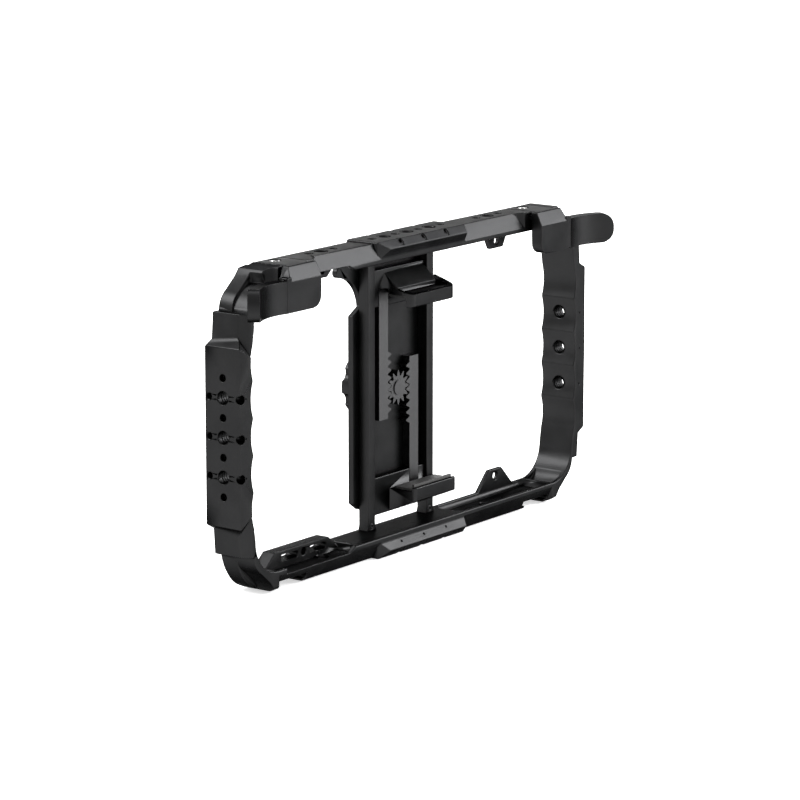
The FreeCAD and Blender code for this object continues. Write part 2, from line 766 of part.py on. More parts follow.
def thumb_rest():
    solid = rest_foot().fuse([rest_block(), rest_paddle()])
    screw = cylinder(REST_SCREW_R, BIG, (SHOE_X, REST_SCREW_Y, MID_Z), (0, 0, 1))
    return solid.cut(screw).removeSplitter()


def rest_screw():
    """The set screw that locks the thumb rest in its slot."""
    top = RING_HEIGHT - RAIL_INSET - REST_SCREW_SINK
    low = RING_HEIGHT - RAIL_INSET - SHOE_LIP - SHOE_GAP + SHOE_CLEAR
    return cylinder(REST_SCREW_R, top - low, (SHOE_X, REST_SCREW_Y, low), (0, 0, 1))


# Clamp

def plate_screw_heights():
    return (PLATE_SCREW_FROM_END, RING_HEIGHT - PLATE_SCREW_FROM_END)


def guide_post(side):
    """An upright between the rails, with a flared foot at each end."""
    x = side * POST_X
    half = POST_WIDTH / 2
    wide = half + POST_FOOT_FLARE
    low = RAIL_HEIGHT
    knee = low + POST_FOOT_HEIGHT
    post = box(x - half, x + half, POST_FRONT, POST_BACK, low, RING_HEIGHT - low)
    foot = prism_xz([(x - wide, low), (x + wide, low), (x + half, knee), (x - half, knee)], POST_FRONT, POST_BACK)
    post = post.fuse([foot, flip_z(foot)])
    hole = post_screw(side)
    cuts = [hole, flip_z(hole)]
    for z in plate_screw_heights():
        start = (x, POST_BACK - POST_TAP_DEPTH, z)
        cuts.append(pit(POST_TAP_R, POST_TAP_DEPTH, start, (0, 1, 0), SCREW_SIDES))
    return post.cut(cuts).removeSplitter()


def post_screw(side):
    start = (side * POST_X, POST_FRONT, RAIL_HEIGHT + POST_SCREW_UP)
    return pit(POST_SCREW_R, POST_SCREW_DEPTH, start, (0, 1, 0), SCREW_SIDES)


def post_screws():
    """The small screws in the front of the posts' feet."""
    low = [post_screw(-1), post_screw(1)]
    return low + [flip_z(s) for s in low]


def plate_wing():
    """The hooked wing at the plate's upper left, with its round hollow."""
    top = RING_HEIGHT - PLATE_WING_DROP + PLATE_WING_HEIGHT
    low = RING_HEIGHT - PLATE_WING_DROP
    r = PLATE_WING_HEIGHT / 2
    tip = PLATE_WING_X - r
    centre_x = -PLATE_CUT_X
    centre_z = low - PLATE_CUT_R
    wing = box(-tip, PLATE_NECK_HALF, POST_BACK, PLATE_BACK, centre_z, top)
    wing = wing.cut(cylinder(PLATE_CUT_R, BIG, (centre_x, 0, centre_z), (0, 1, 0)))
    wing = wing.cut(box(-BIG, centre_x, -BIG, BIG, 0, low))
    return wing.fuse(cylinder(r, PLATE_THICK, (-tip, POST_BACK, top - r), (0, 1, 0)))


def clamp_plate():
    """The plate across the backs of the posts, with its boss for the knob's bush."""
    w = PLATE_HALF_WIDTH
    n = PLATE_NECK_HALF
    c = PLATE_CHAMFER
    top = RING_HEIGHT - PLATE_END
    wide_top = RING_HEIGHT - PLATE_NARROW_FROM
    neck_low = RING_HEIGHT - PLATE_NARROW_TO
    half = [(w - c, PLATE_END), (w, PLATE_END + c * 0.7), (w, wide_top), (n, neck_low), (n, top)]
    outline = half + [(-x, z) for x, z in reversed(half)]
    body = prism_xz(outline, POST_BACK, PLATE_BACK)
    boss = cylinder(BOSS_R, BOSS_HEIGHT, (0, PLATE_BACK, MID_Z), (0, 1, 0))
    plate = body.fuse([plate_wing(), boss])
    cuts = [cylinder(BUSH_R, BIG, (0, 0, MID_Z), (0, 1, 0))]
    for side in (-1, 1):
        for z in plate_screw_heights():
            cuts.append(pit(PLATE_HOLE_R, BIG, (side * POST_X, 0, z), (0, 1, 0), SCREW_SIDES))
    return plate.cut(cuts).removeSplitter()


def plate_screws():
    """Four screws with flat round heads that hold the plate to the posts."""
    out = []
    for side in (-1, 1):
        for z in plate_screw_heights():
            start = (side * POST_X, PLATE_BACK, z)
            head = pit(PLATE_HEAD_R, PLATE_HEAD_HEIGHT, start, (0, 1, 0), SCREW_SIDES)
            shank = pit(PLATE_SHANK_R, PLATE_SHANK_LENGTH, start, (0, -1, 0), SCREW_SIDES)
            out.append(head.fuse(shank))
    return out


def tooth_flank():
    """One involute flank from its root to its tip, as angle and radius."""
    alpha = math.radians(PRESSURE_ANGLE)
    base_r = PITCH_R * math.cos(alpha)
    tip_r = PITCH_R + ADDENDUM * GEAR_MODULE
    root_r = PITCH_R - DEDENDUM * GEAR_MODULE
    half_thick = (math.pi * GEAR_MODULE / 2 - BACKLASH) / 2 / PITCH_R
    inv = lambda a: math.tan(a) - a
    flank = []
    for i in range(FLANK_STEPS + 1):
        r = base_r + (tip_r - base_r) * i / FLANK_STEPS
        flank.append((half_thick + inv(alpha) - inv(math.acos(base_r / r)), r))
    return [(flank[0][0], root_r)] + flank


def pinion():
    """The pinion between the two racks, on the knob's shaft."""
    flank = tooth_flank()
    points = []
    for tooth in range(PINION_TEETH):
        centre = 2 * math.pi * tooth / PINION_TEETH
        sides = [(centre - angle, r) for angle, r in flank]
        sides += [(centre + angle, r) for angle, r in reversed(flank)]
        points += [(r * math.cos(a), MID_Z + r * math.sin(a)) for a, r in sides]
    solid = prism_xz(points, POST_FRONT + PINION_FRONT_GAP, RACK_FACE)
    return solid.cut(cylinder(SHAFT_R, BIG, (0, 0, MID_Z), (0, 1, 0)))


def rack():
    """The upper jaw's rack bar, on the left of the pinion."""
    pitch = math.pi * GEAR_MODULE
    lean = math.tan(math.radians(PRESSURE_ANGLE))
    root_x = -PITCH_R - DEDENDUM * GEAR_MODULE
    tip_x = -PITCH_R + ADDENDUM * GEAR_MODULE
    half = (pitch / 2 - BACKLASH) / 2
    half_root = half + DEDENDUM * GEAR_MODULE * lean
    half_tip = half - ADDENDUM * GEAR_MODULE * lean
    low = MID_Z - RACK_BELOW_AXIS
    points = [(-RACK_BACK, low), (root_x, low)]
    first = math.ceil(-RACK_TEETH_BELOW / pitch - 0.5)
    last = math.floor(RACK_TEETH_ABOVE / pitch - 0.5)
    for i in range(first, last + 1):
        z = MID_Z + (i + 0.5) * pitch
        points += [(root_x, z - half_root), (tip_x, z - half_tip), (tip_x, z + half_tip), (root_x, z + half_root)]
    points += [(root_x, NECK_LOW), (-RACK_BACK, NECK_LOW)]
    return prism_xz(points, POST_FRONT + RACK_FRONT_GAP, RACK_FACE)


def tongue(front):
    """The rack's tongue, which the jaw's neck takes in a pocket."""
    root_x = -PITCH_R - DEDENDUM * GEAR_MODULE
    return box(-RACK_BACK, root_x, front, RACK_FACE - TONGUE_BACK, NECK_LOW - 1, NECK_LOW + TONGUE_RISE)


def upper_rack():
    return rack().fuse(tongue(POST_FRONT + RACK_FRONT_GAP)).removeSplitter()


def jaw_plan(x0, x1, radius, front, back, z0, z1):
    """A jaw's plan: rounded at the front, clear of the posts at the rear."""
    block = box(x0, x1, -front, back, z0, z1)
    return fillet_some(block, radius, lambda e: along(e, (0, 0, 1)) and middle_of(e).y < 0)


def jaw_neck(z0, z1):
    """The plate between the posts that carries the jaw."""
    half = POST_X - POST_WIDTH / 2 - GUIDE_GAP
    return box(-half, half, POST_FRONT + RACK_FRONT_GAP, RACK_FACE, z0, z1)


def slope_side(edge_z, slope, y):
    """The height of a jaw's sloping side at a depth."""
    return edge_z + slope * (y + JAW_FRONT)


def upper_jaw():
    """The upper jaw: a dished tray with a lip, sloping up to its neck between the posts."""
    rim = RING_HEIGHT - UPPER_RIM_DROP
    under = RING_HEIGHT - UPPER_PAD_DROP + PAD_THICK
    lip_low = rim - UPPER_LIP
    back = POST_FRONT - JAW_BACK_GAP
    front = -JAW_FRONT
    top_at = lambda y: slope_side(rim, UPPER_SLOPE, y)
    body = jaw_plan(-UPPER_JAW_LEFT, JAW_RIGHT, UPPER_CORNER_R, JAW_FRONT, back, lip_low, RING_HEIGHT)
    above = prism_yz([(front - 1, top_at(front - 1)), (back + 1, top_at(back + 1)), (back + 1, BIG),
                      (front - 1, BIG)], -BIG, BIG)
    body = body.cut(above)
    body = body.cut(box(-BIG, BIG, front + UPPER_LIP_THICK, BIG, 0, under))
    dish = jaw_plan(JAW_RIM - UPPER_JAW_LEFT, JAW_RIGHT - JAW_RIM, UPPER_CORNER_R, JAW_FRONT - JAW_RIM,
                    back - DISH_BACK_RIM, under + TRAY_FLOOR, RING_HEIGHT)
    slab = prism_yz([(front, top_at(front) - DISH_DEPTH), (front, BIG), (back, BIG),
                     (back, top_at(back) - DISH_DEPTH)], -BIG, BIG)
    body = body.cut(dish.common(slab))
    near = back - BRIDGE_OVERLAP
    far = POST_FRONT + BRIDGE_REACH
    half = POST_X - POST_WIDTH / 2 - GUIDE_GAP
    ramp = RING_HEIGHT - UPPER_RAMP_DROP
    bridge = prism_yz([(near, under), (near, top_at(near)), (POST_FRONT + RACK_FRONT_GAP, ramp), (far, ramp),
                       (far, under)], -UPPER_JAW_LEFT, half)
    neck = jaw_neck(NECK_LOW, RING_HEIGHT - RAIL_HEIGHT - JAW_TOP_GAP)
    return body.fuse([bridge, neck]).cut(tongue(0)).removeSplitter()


def lower_jaw():
    """The lower jaw: a tray with a low lip, sloping down to its neck between the posts."""
    over = LOWER_PAD_Z - PAD_THICK
    back = POST_FRONT - JAW_BACK_GAP
    front = -JAW_FRONT
    low_at = lambda y: slope_side(LOWER_LIP_LOW, -LOWER_SLOPE, y)
    body = jaw_plan(-LOWER_JAW_LEFT, JAW_RIGHT, LOWER_CORNER_R, JAW_FRONT, back, 0, LOWER_LIP_HIGH)
    below = prism_yz([(front - 1, low_at(front - 1)), (back + 1, low_at(back + 1)), (back + 1, -BIG),
                      (front - 1, -BIG)], -BIG, BIG)
    body = body.cut(below)
    body = body.cut(box(-BIG, BIG, front + LOWER_LIP_THICK, BIG, over, BIG))
    near = back - BRIDGE_OVERLAP
    far = POST_FRONT + BRIDGE_REACH
    half = POST_X - POST_WIDTH / 2 - GUIDE_GAP
    bridge = prism_yz([(near, low_at(near)), (far, low_at(far)), (far, over), (near, over)], -LOWER_JAW_LEFT, half)
    neck = jaw_neck(RAIL_HEIGHT + JAW_TOP_GAP, NECK_DROP)
    return body.fuse([bridge, neck]).cut(half_turn(tongue(0))).removeSplitter()


def jaw_rubber(left, radius, lip_thick, sheet_z, lip_z):
    """A rubber sheet with a lip turned along the jaw's front."""
    front = lip_thick - JAW_FRONT
    x1 = JAW_RIGHT - PAD_INSET
    sheet = box(PAD_INSET - left, x1, front, POST_FRONT - PAD_BACK_GAP, *sheet_z)
    lip = box(radius - left, JAW_RIGHT - radius, front, front + PAD_LIP, *lip_z)
    return sheet.fuse(lip).removeSplitter()


def upper_pad():
    low = RING_HEIGHT - UPPER_PAD_DROP
    lip = RING_HEIGHT - UPPER_RIM_DROP - UPPER_LIP + UPPER_LIP_CLEAR
    sheet_z = (low, low + PAD_THICK)
    return jaw_rubber(UPPER_JAW_LEFT, UPPER_CORNER_R, UPPER_LIP_THICK, sheet_z, (lip, low + PAD_OVERLAP))


def lower_pad():
    sheet_z = (LOWER_PAD_Z - PAD_THICK, LOWER_PAD_Z)
    lip_z = (LOWER_PAD_Z - PAD_OVERLAP, LOWER_LIP_HIGH + LOWER_LIP_STAND)
    return jaw_rubber(LOWER_JAW_LEFT, LOWER_CORNER_R, LOWER_LIP_THICK, sheet_z, lip_z)


# Knob

def knob_shaft():
    """The shaft from the pinion through the bush into the knob."""
    y0 = POST_FRONT + SHAFT_FRONT_GAP
    return cylinder(SHAFT_R, KNOB_FACE + SHAFT_INTO_KNOB - y0, (0, y0, MID_Z), (0, 1, 0))


def bored(radius, y0, length):
    """A round piece that the shaft runs through."""
    body = cylinder(radius, length, (0, y0, MID_Z), (0, 1, 0))
    return body.cut(cylinder(SHAFT_R + FIT, length, (0, y0, MID_Z), (0, 1, 0)))


def clamp_knob():
    """The fluted knob at the back, with the seat of its screw."""
    knob = cylinder(KNOB_R, KNOB_THICK, (0, KNOB_FACE, MID_Z), (0, 1, 0))
    cuts = [cylinder(SHAFT_R, KNOB_BORE_DEPTH, (0, KNOB_FACE, MID_Z), (0, 1, 0))]
    seat = KNOB_FACE + KNOB_THICK - KNOB_SCREW_SINK
    cuts.append(cylinder(KNOB_SCREW_R, BIG, (0, seat, MID_Z), (0, 1, 0)))
    reach = KNOB_R + KNOB_FLUTE_R - KNOB_FLUTE_BITE
    for i in range(KNOB_FLUTES):
        a = 2 * math.pi * (i + 0.5) / KNOB_FLUTES
        start = (reach * math.cos(a), 0, MID_Z + reach * math.sin(a))
        cuts.append(cylinder(KNOB_FLUTE_R, BIG, start, (0, 1, 0)))
    return knob.cut(cuts).removeSplitter()


def knob_screw():
    """The cap screw's head in the back of the knob."""
    seat = KNOB_FACE + KNOB_THICK - KNOB_SCREW_SINK
    return cylinder(KNOB_SCREW_R - FIT, KNOB_SCREW_SINK - FIT, (0, seat, MID_Z), (0, 1, 0))


def write(name, solids):
    solids = solids if isinstance(solids, list) else [solids]
    shape = solids[0] if len(solids) == 1 else Part.makeCompound(solids)
    for solid in shape.Solids:
        if not solid.isValid():
            print("not valid:", name)
    if len(shape.Solids) != len(solids):
        print("solid count:", name, len(shape.Solids))
    shape.exportStep("parts/" + name + ".step")
    print(name, len(shape.Solids), round(shape.Volume, 1))


def main():
    os.makedirs("parts", exist_ok=True)
    write("cage_frame", cage_frame())
    right = thumb_rest()
    write("thumb_rest_right", right)
    write("thumb_rest_left", flip_x(right))
    write("thumb_rest_screw_right", rest_screw())
    write("thumb_rest_screw_left", flip_x(rest_screw()))
    write("guide_post_left", guide_post(-1))
    write("guide_post_right", guide_post(1))
    write("post_screws", post_screws())
    write("clamp_plate", clamp_plate())
    write("plate_screws", plate_screws())
    write("upper_jaw", upper_jaw())
    write("lower_jaw", lower_jaw())
    write("upper_rack", upper_rack())
    write("lower_rack", half_turn(upper_rack()))
    write("upper_jaw_pad", upper_pad())
    write("lower_jaw_pad", lower_pad())
    write("pinion", pinion())
    write("knob_shaft", knob_shaft())
    write("shaft_bush", bored(BUSH_R, POST_BACK, PLATE_THICK + BOSS_HEIGHT))
    write("friction_washer", bored(WASHER_R, PLATE_BACK + BOSS_HEIGHT, WASHER_THICK))
    write("clamp_knob", clamp_knob())
    write("knob_screw", knob_screw())


main()
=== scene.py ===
# %% [markdown]
# # A phone cage, dressed for its picture
# The machined frame comes from the CAD model with all its pieces in place. This lesson gives it a camera,
# a plain studio and the finishes of anodised and bare metal, plastic and rubber. It adds the small machined
# detail that is too fine for the CAD model: broken edges, screw sockets, thread turns and pinholes. It also
# corrects a few forms on copies of the pieces: a tab, the thumb rests' paddles, the flanges' notches and the
# left grip's small holes.

# %% Load the frame
import json
import math

import bpy
import bmesh
from mathutils import Matrix, Vector
from mathutils.bvhtree import BVHTree

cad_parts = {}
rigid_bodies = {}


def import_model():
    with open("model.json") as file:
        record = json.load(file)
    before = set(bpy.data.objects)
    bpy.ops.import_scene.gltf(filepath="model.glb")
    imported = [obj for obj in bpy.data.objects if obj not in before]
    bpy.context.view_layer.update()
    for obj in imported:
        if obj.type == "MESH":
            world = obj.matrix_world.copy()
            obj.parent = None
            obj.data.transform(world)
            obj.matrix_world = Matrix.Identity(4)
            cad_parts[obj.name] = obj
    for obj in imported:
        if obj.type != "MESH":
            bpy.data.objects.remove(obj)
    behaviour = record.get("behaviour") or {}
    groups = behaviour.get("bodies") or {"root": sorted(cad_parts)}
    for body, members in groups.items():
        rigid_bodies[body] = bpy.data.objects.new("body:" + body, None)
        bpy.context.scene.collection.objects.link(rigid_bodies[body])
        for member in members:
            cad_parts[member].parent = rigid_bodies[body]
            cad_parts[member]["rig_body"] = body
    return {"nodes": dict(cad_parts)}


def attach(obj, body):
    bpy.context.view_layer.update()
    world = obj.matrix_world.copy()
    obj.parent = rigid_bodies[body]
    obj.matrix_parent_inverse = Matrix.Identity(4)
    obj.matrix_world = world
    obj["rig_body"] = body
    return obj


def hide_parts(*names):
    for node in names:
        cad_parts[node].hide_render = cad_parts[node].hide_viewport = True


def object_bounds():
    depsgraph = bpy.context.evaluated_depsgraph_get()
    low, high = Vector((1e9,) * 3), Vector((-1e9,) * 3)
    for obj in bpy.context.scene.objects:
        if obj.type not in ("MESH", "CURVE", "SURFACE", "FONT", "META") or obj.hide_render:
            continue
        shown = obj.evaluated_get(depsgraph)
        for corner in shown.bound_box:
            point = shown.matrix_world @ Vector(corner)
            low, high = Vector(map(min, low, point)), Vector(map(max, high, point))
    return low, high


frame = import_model()
NODES = frame["nodes"]
cad_box = [list(corner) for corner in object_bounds()]
print("CAD box", cad_box)

# %% [markdown]
# ## The camera
# The photograph is taken from the left and a little above, from well back with a long lens, so that parallel
# edges stay almost parallel. Such a view is set by its own numbers: the camera's place, its turn and the
# focal length, all worked out beforehand.

# %% Camera
CAMERA_PLACE = (-1.15472, -0.83879, 0.34882)
CAMERA_TURN = (math.radians(78.473), 0.0, math.radians(-53.907))
FOCAL_LENGTH = 166.52
SENSOR_WIDTH = 36.0
NEAREST = 0.05
camera_data = bpy.data.cameras.new("camera")
camera_data.lens = FOCAL_LENGTH
camera_data.sensor_width = SENSOR_WIDTH
camera_data.clip_start = NEAREST
camera = bpy.data.objects.new("camera", camera_data)
camera.location = CAMERA_PLACE
camera.rotation_euler = CAMERA_TURN
bpy.context.scene.collection.objects.link(camera)
bpy.context.scene.camera = camera
bpy.context.scene.view_settings.view_transform = "Standard"
print("camera", round(Vector(CAMERA_PLACE).length, 2), "m from the origin")

# %% [markdown]
# ## Helpers for materials
# Every finish starts the same way: a new node material with one Principled shader, and a Texture Coordinate
# node whose Object output gives places in metres, so a grain of half a millimetre is a scale of about 2000.


# %% New material and noise
def new_material(name, colour, roughness, metallic=0.0):
    """A node material; returns it with its node tree, its shader and the coordinate node."""
    material = bpy.data.materials.new(name)
    material.use_nodes = True
    tree = material.node_tree
    shader = tree.nodes["Principled BSDF"]
    shader.inputs["Base Color"].default_value = (*colour, 1.0)
    shader.inputs["Roughness"].default_value = roughness
    shader.inputs["Metallic"].default_value = metallic
    place = tree.nodes.new("ShaderNodeTexCoord")
    return material, tree, shader, place


def noise(tree, place, scale, detail=2.0, rough=0.5):
    """A noise texture in the object's own space."""
    node = tree.nodes.new("ShaderNodeTexNoise")
    node.inputs["Scale"].default_value = scale
    node.inputs["Detail"].default_value = detail
    node.inputs["Roughness"].default_value = rough
    tree.links.new(place.outputs["Object"], node.inputs["Vector"])
    return node


# %% [markdown]
# ## From a noise to a surface
# A noise can drive a colour, a roughness or a height. Its values gather round the middle, so that range alone
# is stretched over what it drives. A height only tilts the surface's shading, which is enough for a grain.

# %% Spread, mix and bump
NOISE_LOW, NOISE_HIGH = 0.3, 0.7


def spread(tree, source, low, high):
    """Maps a noise's middle range onto the values from low to high."""
    node = tree.nodes.new("ShaderNodeMapRange")
    node.inputs["From Min"].default_value = NOISE_LOW
    node.inputs["From Max"].default_value = NOISE_HIGH
    node.inputs["To Min"].default_value = low
    node.inputs["To Max"].default_value = high
    tree.links.new(source.outputs["Fac"], node.inputs["Value"])
    return node.outputs[0]


def between(tree, factor, dark, light):
    """A colour between two, by a factor from 0 to 1."""
    node = tree.nodes.new("ShaderNodeMix")
    node.data_type = "RGBA"
    node.inputs["A"].default_value = (*dark, 1.0)
    node.inputs["B"].default_value = (*light, 1.0)
    tree.links.new(factor, node.inputs["Factor"])
    return node.outputs["Result"]


def bump(tree, shader, height, distance, strength):
    """Turns a height into a slight tilt of the surface."""
    node = tree.nodes.new("ShaderNodeBump")
    node.inputs["Distance"].default_value = distance
    node.inputs["Strength"].default_value = strength
    tree.links.new(height, node.inputs["Height"])
    tree.links.new(node.outputs["Normal"], shader.inputs["Normal"])


# %% [markdown]
# ## The frame's finish
# The frame is aluminium, blasted with fine beads and then anodised black. Up close that is a fine dimpled
# grain, a satin shine that is a little uneven, and a colour that is not quite black. The thin dark coat takes
# its shine from the metal under it, so the shader is metallic with a very dark colour. Specular Tint is what
# such a metal shows at a grazing look, and a dark value there keeps the tops from turning pale.

# %% Anodised finishes
CLOUD_SCALE = 90.0
DIMPLE_SCALE = 2600.0
DIMPLE_STRENGTH = 0.5
UNEVEN_SHINE = 0.03
EDGE_TINT = (0.32, 0.32, 0.32, 1.0)


def anodised(name, dark, light, shine, grain):
    """Black anodised aluminium; shine is the middle roughness, grain the dimples' depth in metres."""
    material, tree, shader, place = new_material(name, light, shine, 1.0)
    shader.inputs["Specular Tint"].default_value = EDGE_TINT
    cloud = noise(tree, place, CLOUD_SCALE, 3.0)
    tone = spread(tree, cloud, 0.0, 1.0)
    tree.links.new(between(tree, tone, dark, light), shader.inputs["Base Color"])
    dimples = noise(tree, place, DIMPLE_SCALE, 2.0, 0.6)
    uneven = spread(tree, cloud, shine - UNEVEN_SHINE, shine + UNEVEN_SHINE)
    tree.links.new(uneven, shader.inputs["Roughness"])
    bump(tree, shader, dimples.outputs["Fac"], grain, DIMPLE_STRENGTH)
    return material


FRAME_FINISH = anodised("blasted_black", (0.0175, 0.0176, 0.0179), (0.0215, 0.0216, 0.0220), 0.38, 0.00005)
REST_FINISH = anodised("smooth_black", (0.0165, 0.0166, 0.0169), (0.0205, 0.0206, 0.0210), 0.36, 0.00003)
JAW_FINISH = anodised("satin_black", (0.0170, 0.0171, 0.0174), (0.0210, 0.0211, 0.0215), 0.32, 0.00004)
print("anodised:", FRAME_FINISH.name, REST_FINISH.name, JAW_FINISH.name)

# %% [markdown]
# ## Moulded plastic and rubber
# The pads are rubber, dull and a little brown, and the washer under the knob is plain white nylon. Both are
# moulded, so one function with another colour, shine and grain makes them.

# %% Moulded finishes
TONE_SCALE = 140.0
LIGHTER = 1.35
GRAIN_STRENGTH = 0.6


def moulded(name, colour, shine, grain, scale):
    """A moulded surface with an even, fine texture."""
    material, tree, shader, place = new_material(name, colour, shine)
    texture = noise(tree, place, scale, 3.0, 0.6)
    tone = spread(tree, noise(tree, place, TONE_SCALE), 0.0, 1.0)
    lighter = tuple(LIGHTER * c for c in colour)
    tree.links.new(between(tree, tone, colour, lighter), shader.inputs["Base Color"])
    bump(tree, shader, texture.outputs["Fac"], grain, GRAIN_STRENGTH)
    return material


RUBBER_FINISH = moulded("rubber", (0.010, 0.0098, 0.0095), 0.6, 0.00010, 1700.0)
NYLON_FINISH = moulded("nylon", (0.55, 0.54, 0.5), 0.45, 0.00004, 900.0)
print("moulded:", RUBBER_FINISH.name, NYLON_FINISH.name)

# %% [markdown]
# ## Bare metals
# The thumb rests' lock screws and the knob's screw are bright steel. The racks, the pinion, its shaft and the
# clamp's other screws are blackened steel, and the bush is brass. Turning leaves fine lines, which are noise
# stretched along one direction, and the shine changes a little from place to place.

# %% Bare metals
LINE_SCALE = 1500.0
SMEAR_SCALE = 300.0
DULLER, SHINIER = 0.06, 0.05
DARKER = 0.86
LINE_DEPTH = 0.00003
LINE_STRENGTH = 0.5


def turned(name, colour, shine, stretch):
    """Machined bare metal with fine lines across the direction that stretch squeezes."""
    material, tree, shader, place = new_material(name, colour, shine, 1.0)
    mapping = tree.nodes.new("ShaderNodeMapping")
    mapping.inputs["Scale"].default_value = stretch
    tree.links.new(place.outputs["Object"], mapping.inputs["Vector"])
    lines = tree.nodes.new("ShaderNodeTexNoise")
    lines.inputs["Scale"].default_value = LINE_SCALE
    lines.inputs["Detail"].default_value = 2.0
    tree.links.new(mapping.outputs["Vector"], lines.inputs["Vector"])
    uneven = spread(tree, noise(tree, place, SMEAR_SCALE), shine - SHINIER, shine + DULLER)
    tree.links.new(uneven, shader.inputs["Roughness"])
    darker = tuple(DARKER * c for c in colour)
    tone = spread(tree, lines, 0.0, 1.0)
    tree.links.new(between(tree, tone, darker, colour), shader.inputs["Base Color"])
    bump(tree, shader, lines.outputs["Fac"], LINE_DEPTH, LINE_STRENGTH)
    return material


STEEL_FINISH = turned("turned_steel", (0.60, 0.60, 0.59), 0.30, (1.0, 1.0, 4.0))
DARK_STEEL_FINISH = turned("blackened_steel", (0.032, 0.032, 0.033), 0.36, (1.0, 1.0, 4.0))
BRASS_FINISH = turned("brass", (0.66, 0.47, 0.22), 0.30, (1.0, 4.0, 1.0))
print("bare:", STEEL_FINISH.name, DARK_STEEL_FINISH.name, BRASS_FINISH.name)

# %% [markdown]
# ## Finishes on the CAD nodes
# A CAD node keeps its mesh and only gets a material. The names say which piece gets which finish.

# %% Dress the CAD nodes
FINISH_OF = {
    "cage_frame": FRAME_FINISH, "thumb_rest_left": REST_FINISH, "thumb_rest_right": REST_FINISH,
    "thumb_rest_screw_left": STEEL_FINISH, "thumb_rest_screw_right": STEEL_FINISH,
    "guide_post_left": FRAME_FINISH, "guide_post_right": FRAME_FINISH, "post_screws": DARK_STEEL_FINISH,
    "clamp_plate": FRAME_FINISH, "plate_screws": DARK_STEEL_FINISH,
    "upper_jaw": JAW_FINISH, "lower_jaw": JAW_FINISH, "upper_rack": DARK_STEEL_FINISH,
    "lower_rack": DARK_STEEL_FINISH, "upper_jaw_pad": RUBBER_FINISH, "lower_jaw_pad": RUBBER_FINISH,
    "pinion": DARK_STEEL_FINISH, "knob_shaft": DARK_STEEL_FINISH, "shaft_bush": BRASS_FINISH,
    "friction_washer": NYLON_FINISH, "clamp_knob": REST_FINISH, "knob_screw": STEEL_FINISH,
}
for name, node in NODES.items():
    node.data.materials.clear()
    node.data.materials.append(FINISH_OF[name])
print("dressed", len(NODES), "nodes")

# %% [markdown]
# ## Copies to work on
# A CAD node's own mesh is never changed, so each piece that gets finer detail is copied. The CAD mesh is
# loose triangles, whose points are merged first, so that neighbouring faces share their edges.

# %% Select, copy and merge
MM = 0.001
TOUCHING = 0.001 * MM


def select_only(piece):
    """Makes the piece the only selected and the active object."""
    bpy.ops.object.select_all(action="DESELECT")
    piece.select_set(True)
    bpy.context.view_layer.objects.active = piece


def merged_copy(node_name, name):
    """A copy of a CAD node's mesh with its doubles merged, as a new object at the origin."""
    piece = bpy.data.objects.new(name, NODES[node_name].data.copy())
    bpy.context.scene.collection.objects.link(piece)
    merge_points(piece)
    return piece


def merge_points(piece, distance=TOUCHING):
    """Merges points that lie on each other and drops faces with no area."""
    shape = bmesh.new()
    shape.from_mesh(piece.data)
    bmesh.ops.remove_doubles(shape, verts=shape.verts, dist=distance)
    bmesh.ops.dissolve_degenerate(shape, edges=shape.edges, dist=distance)
    shape.to_mesh(piece.data)
    shape.free()


# %% [markdown]
# ## Which edges are broken, and how wide
# A machined frame has its sharp edges broken by a fine chamfer, and these chamfers catch the light as thin
# bright lines. An edge counts as sharp by the angle between its faces, unless one of them is a sliver, whose
# direction can't be trusted. Near a short edge or a thin lip a full bevel would run over its neighbour, so
# each edge's width is first held back to the room it has.

# %% Find the sharp edges and their room
SHARPEST = math.radians(25.0)
STRAIGHT_ON = math.radians(145.0)
SLIVER = 0.012 * MM
PLENTY = 1.0
NEIGHBOUR_SHARE = 0.25


def is_sharp(edge):
    """Whether two real faces meet at a clear angle; a sliver's normal can't be trusted."""
    if not edge.is_manifold or edge.calc_face_angle() < SHARPEST:
        return False
    for face in edge.link_faces:
        longest = max(side.calc_length() for side in face.edges)
        if 2.0 * face.calc_area() <= SLIVER * longest:
            return False
    return True


def room_beside(edge, sharp):
    """The width that the sharp edges meeting this one leave beside it."""
    room = PLENTY
    for corner in edge.verts:
        along = edge.other_vert(corner).co - corner.co
        for other in corner.link_edges:
            if other is edge or other not in sharp:
                continue
            away = other.other_vert(corner).co - corner.co
            turn = along.angle(away)
            if turn < STRAIGHT_ON:
                room = min(room, max(away.length * math.sin(turn), NEIGHBOUR_SHARE * away.length))
    return room


# %% [markdown]
# ## One bevel, tried and tested
# The Bevel modifier takes each edge's own width from a weight. Where bevels crowd each other, a point can
# shoot out of the surface. The sharp mesh serves as a gauge: each point of the bevelled one is measured
# against it, and a point that stands proud or lies too deep is called a stray.

# %% Bevel and gauge
EDGE_STEPS = 2
PROUD = 0.02 * MM
DEEPEST = 0.6
TINY = 1e-12


def bevelled(piece, widths):
    """The piece's mesh with every edge in widths bevelled by its own width, as a new mesh."""
    trial = bpy.data.objects.new("trial", piece.data.copy())
    bpy.context.scene.collection.objects.link(trial)
    widest = max(widths.values())
    weight = trial.data.attributes.new("bevel_weight_edge", "FLOAT", "EDGE")
    for index, width in widths.items():
        weight.data[index].value = width / widest
    cut = trial.modifiers.new("edges", "BEVEL")
    cut.width = widest
    cut.segments = EDGE_STEPS
    cut.limit_method = "WEIGHT"
    cut.use_clamp_overlap = False
    cut.loop_slide = False
    select_only(trial)
    bpy.ops.object.modifier_apply(modifier=cut.name)
    mesh = trial.data
    bpy.data.objects.remove(trial)
    return mesh


def strays(surface, point, width):
    """Whether a point stands out of the surface or lies too deep under it."""
    foot, normal, _, depth = surface.find_nearest(point)
    return depth > DEEPEST * width or (point - foot).dot(normal) > PROUD


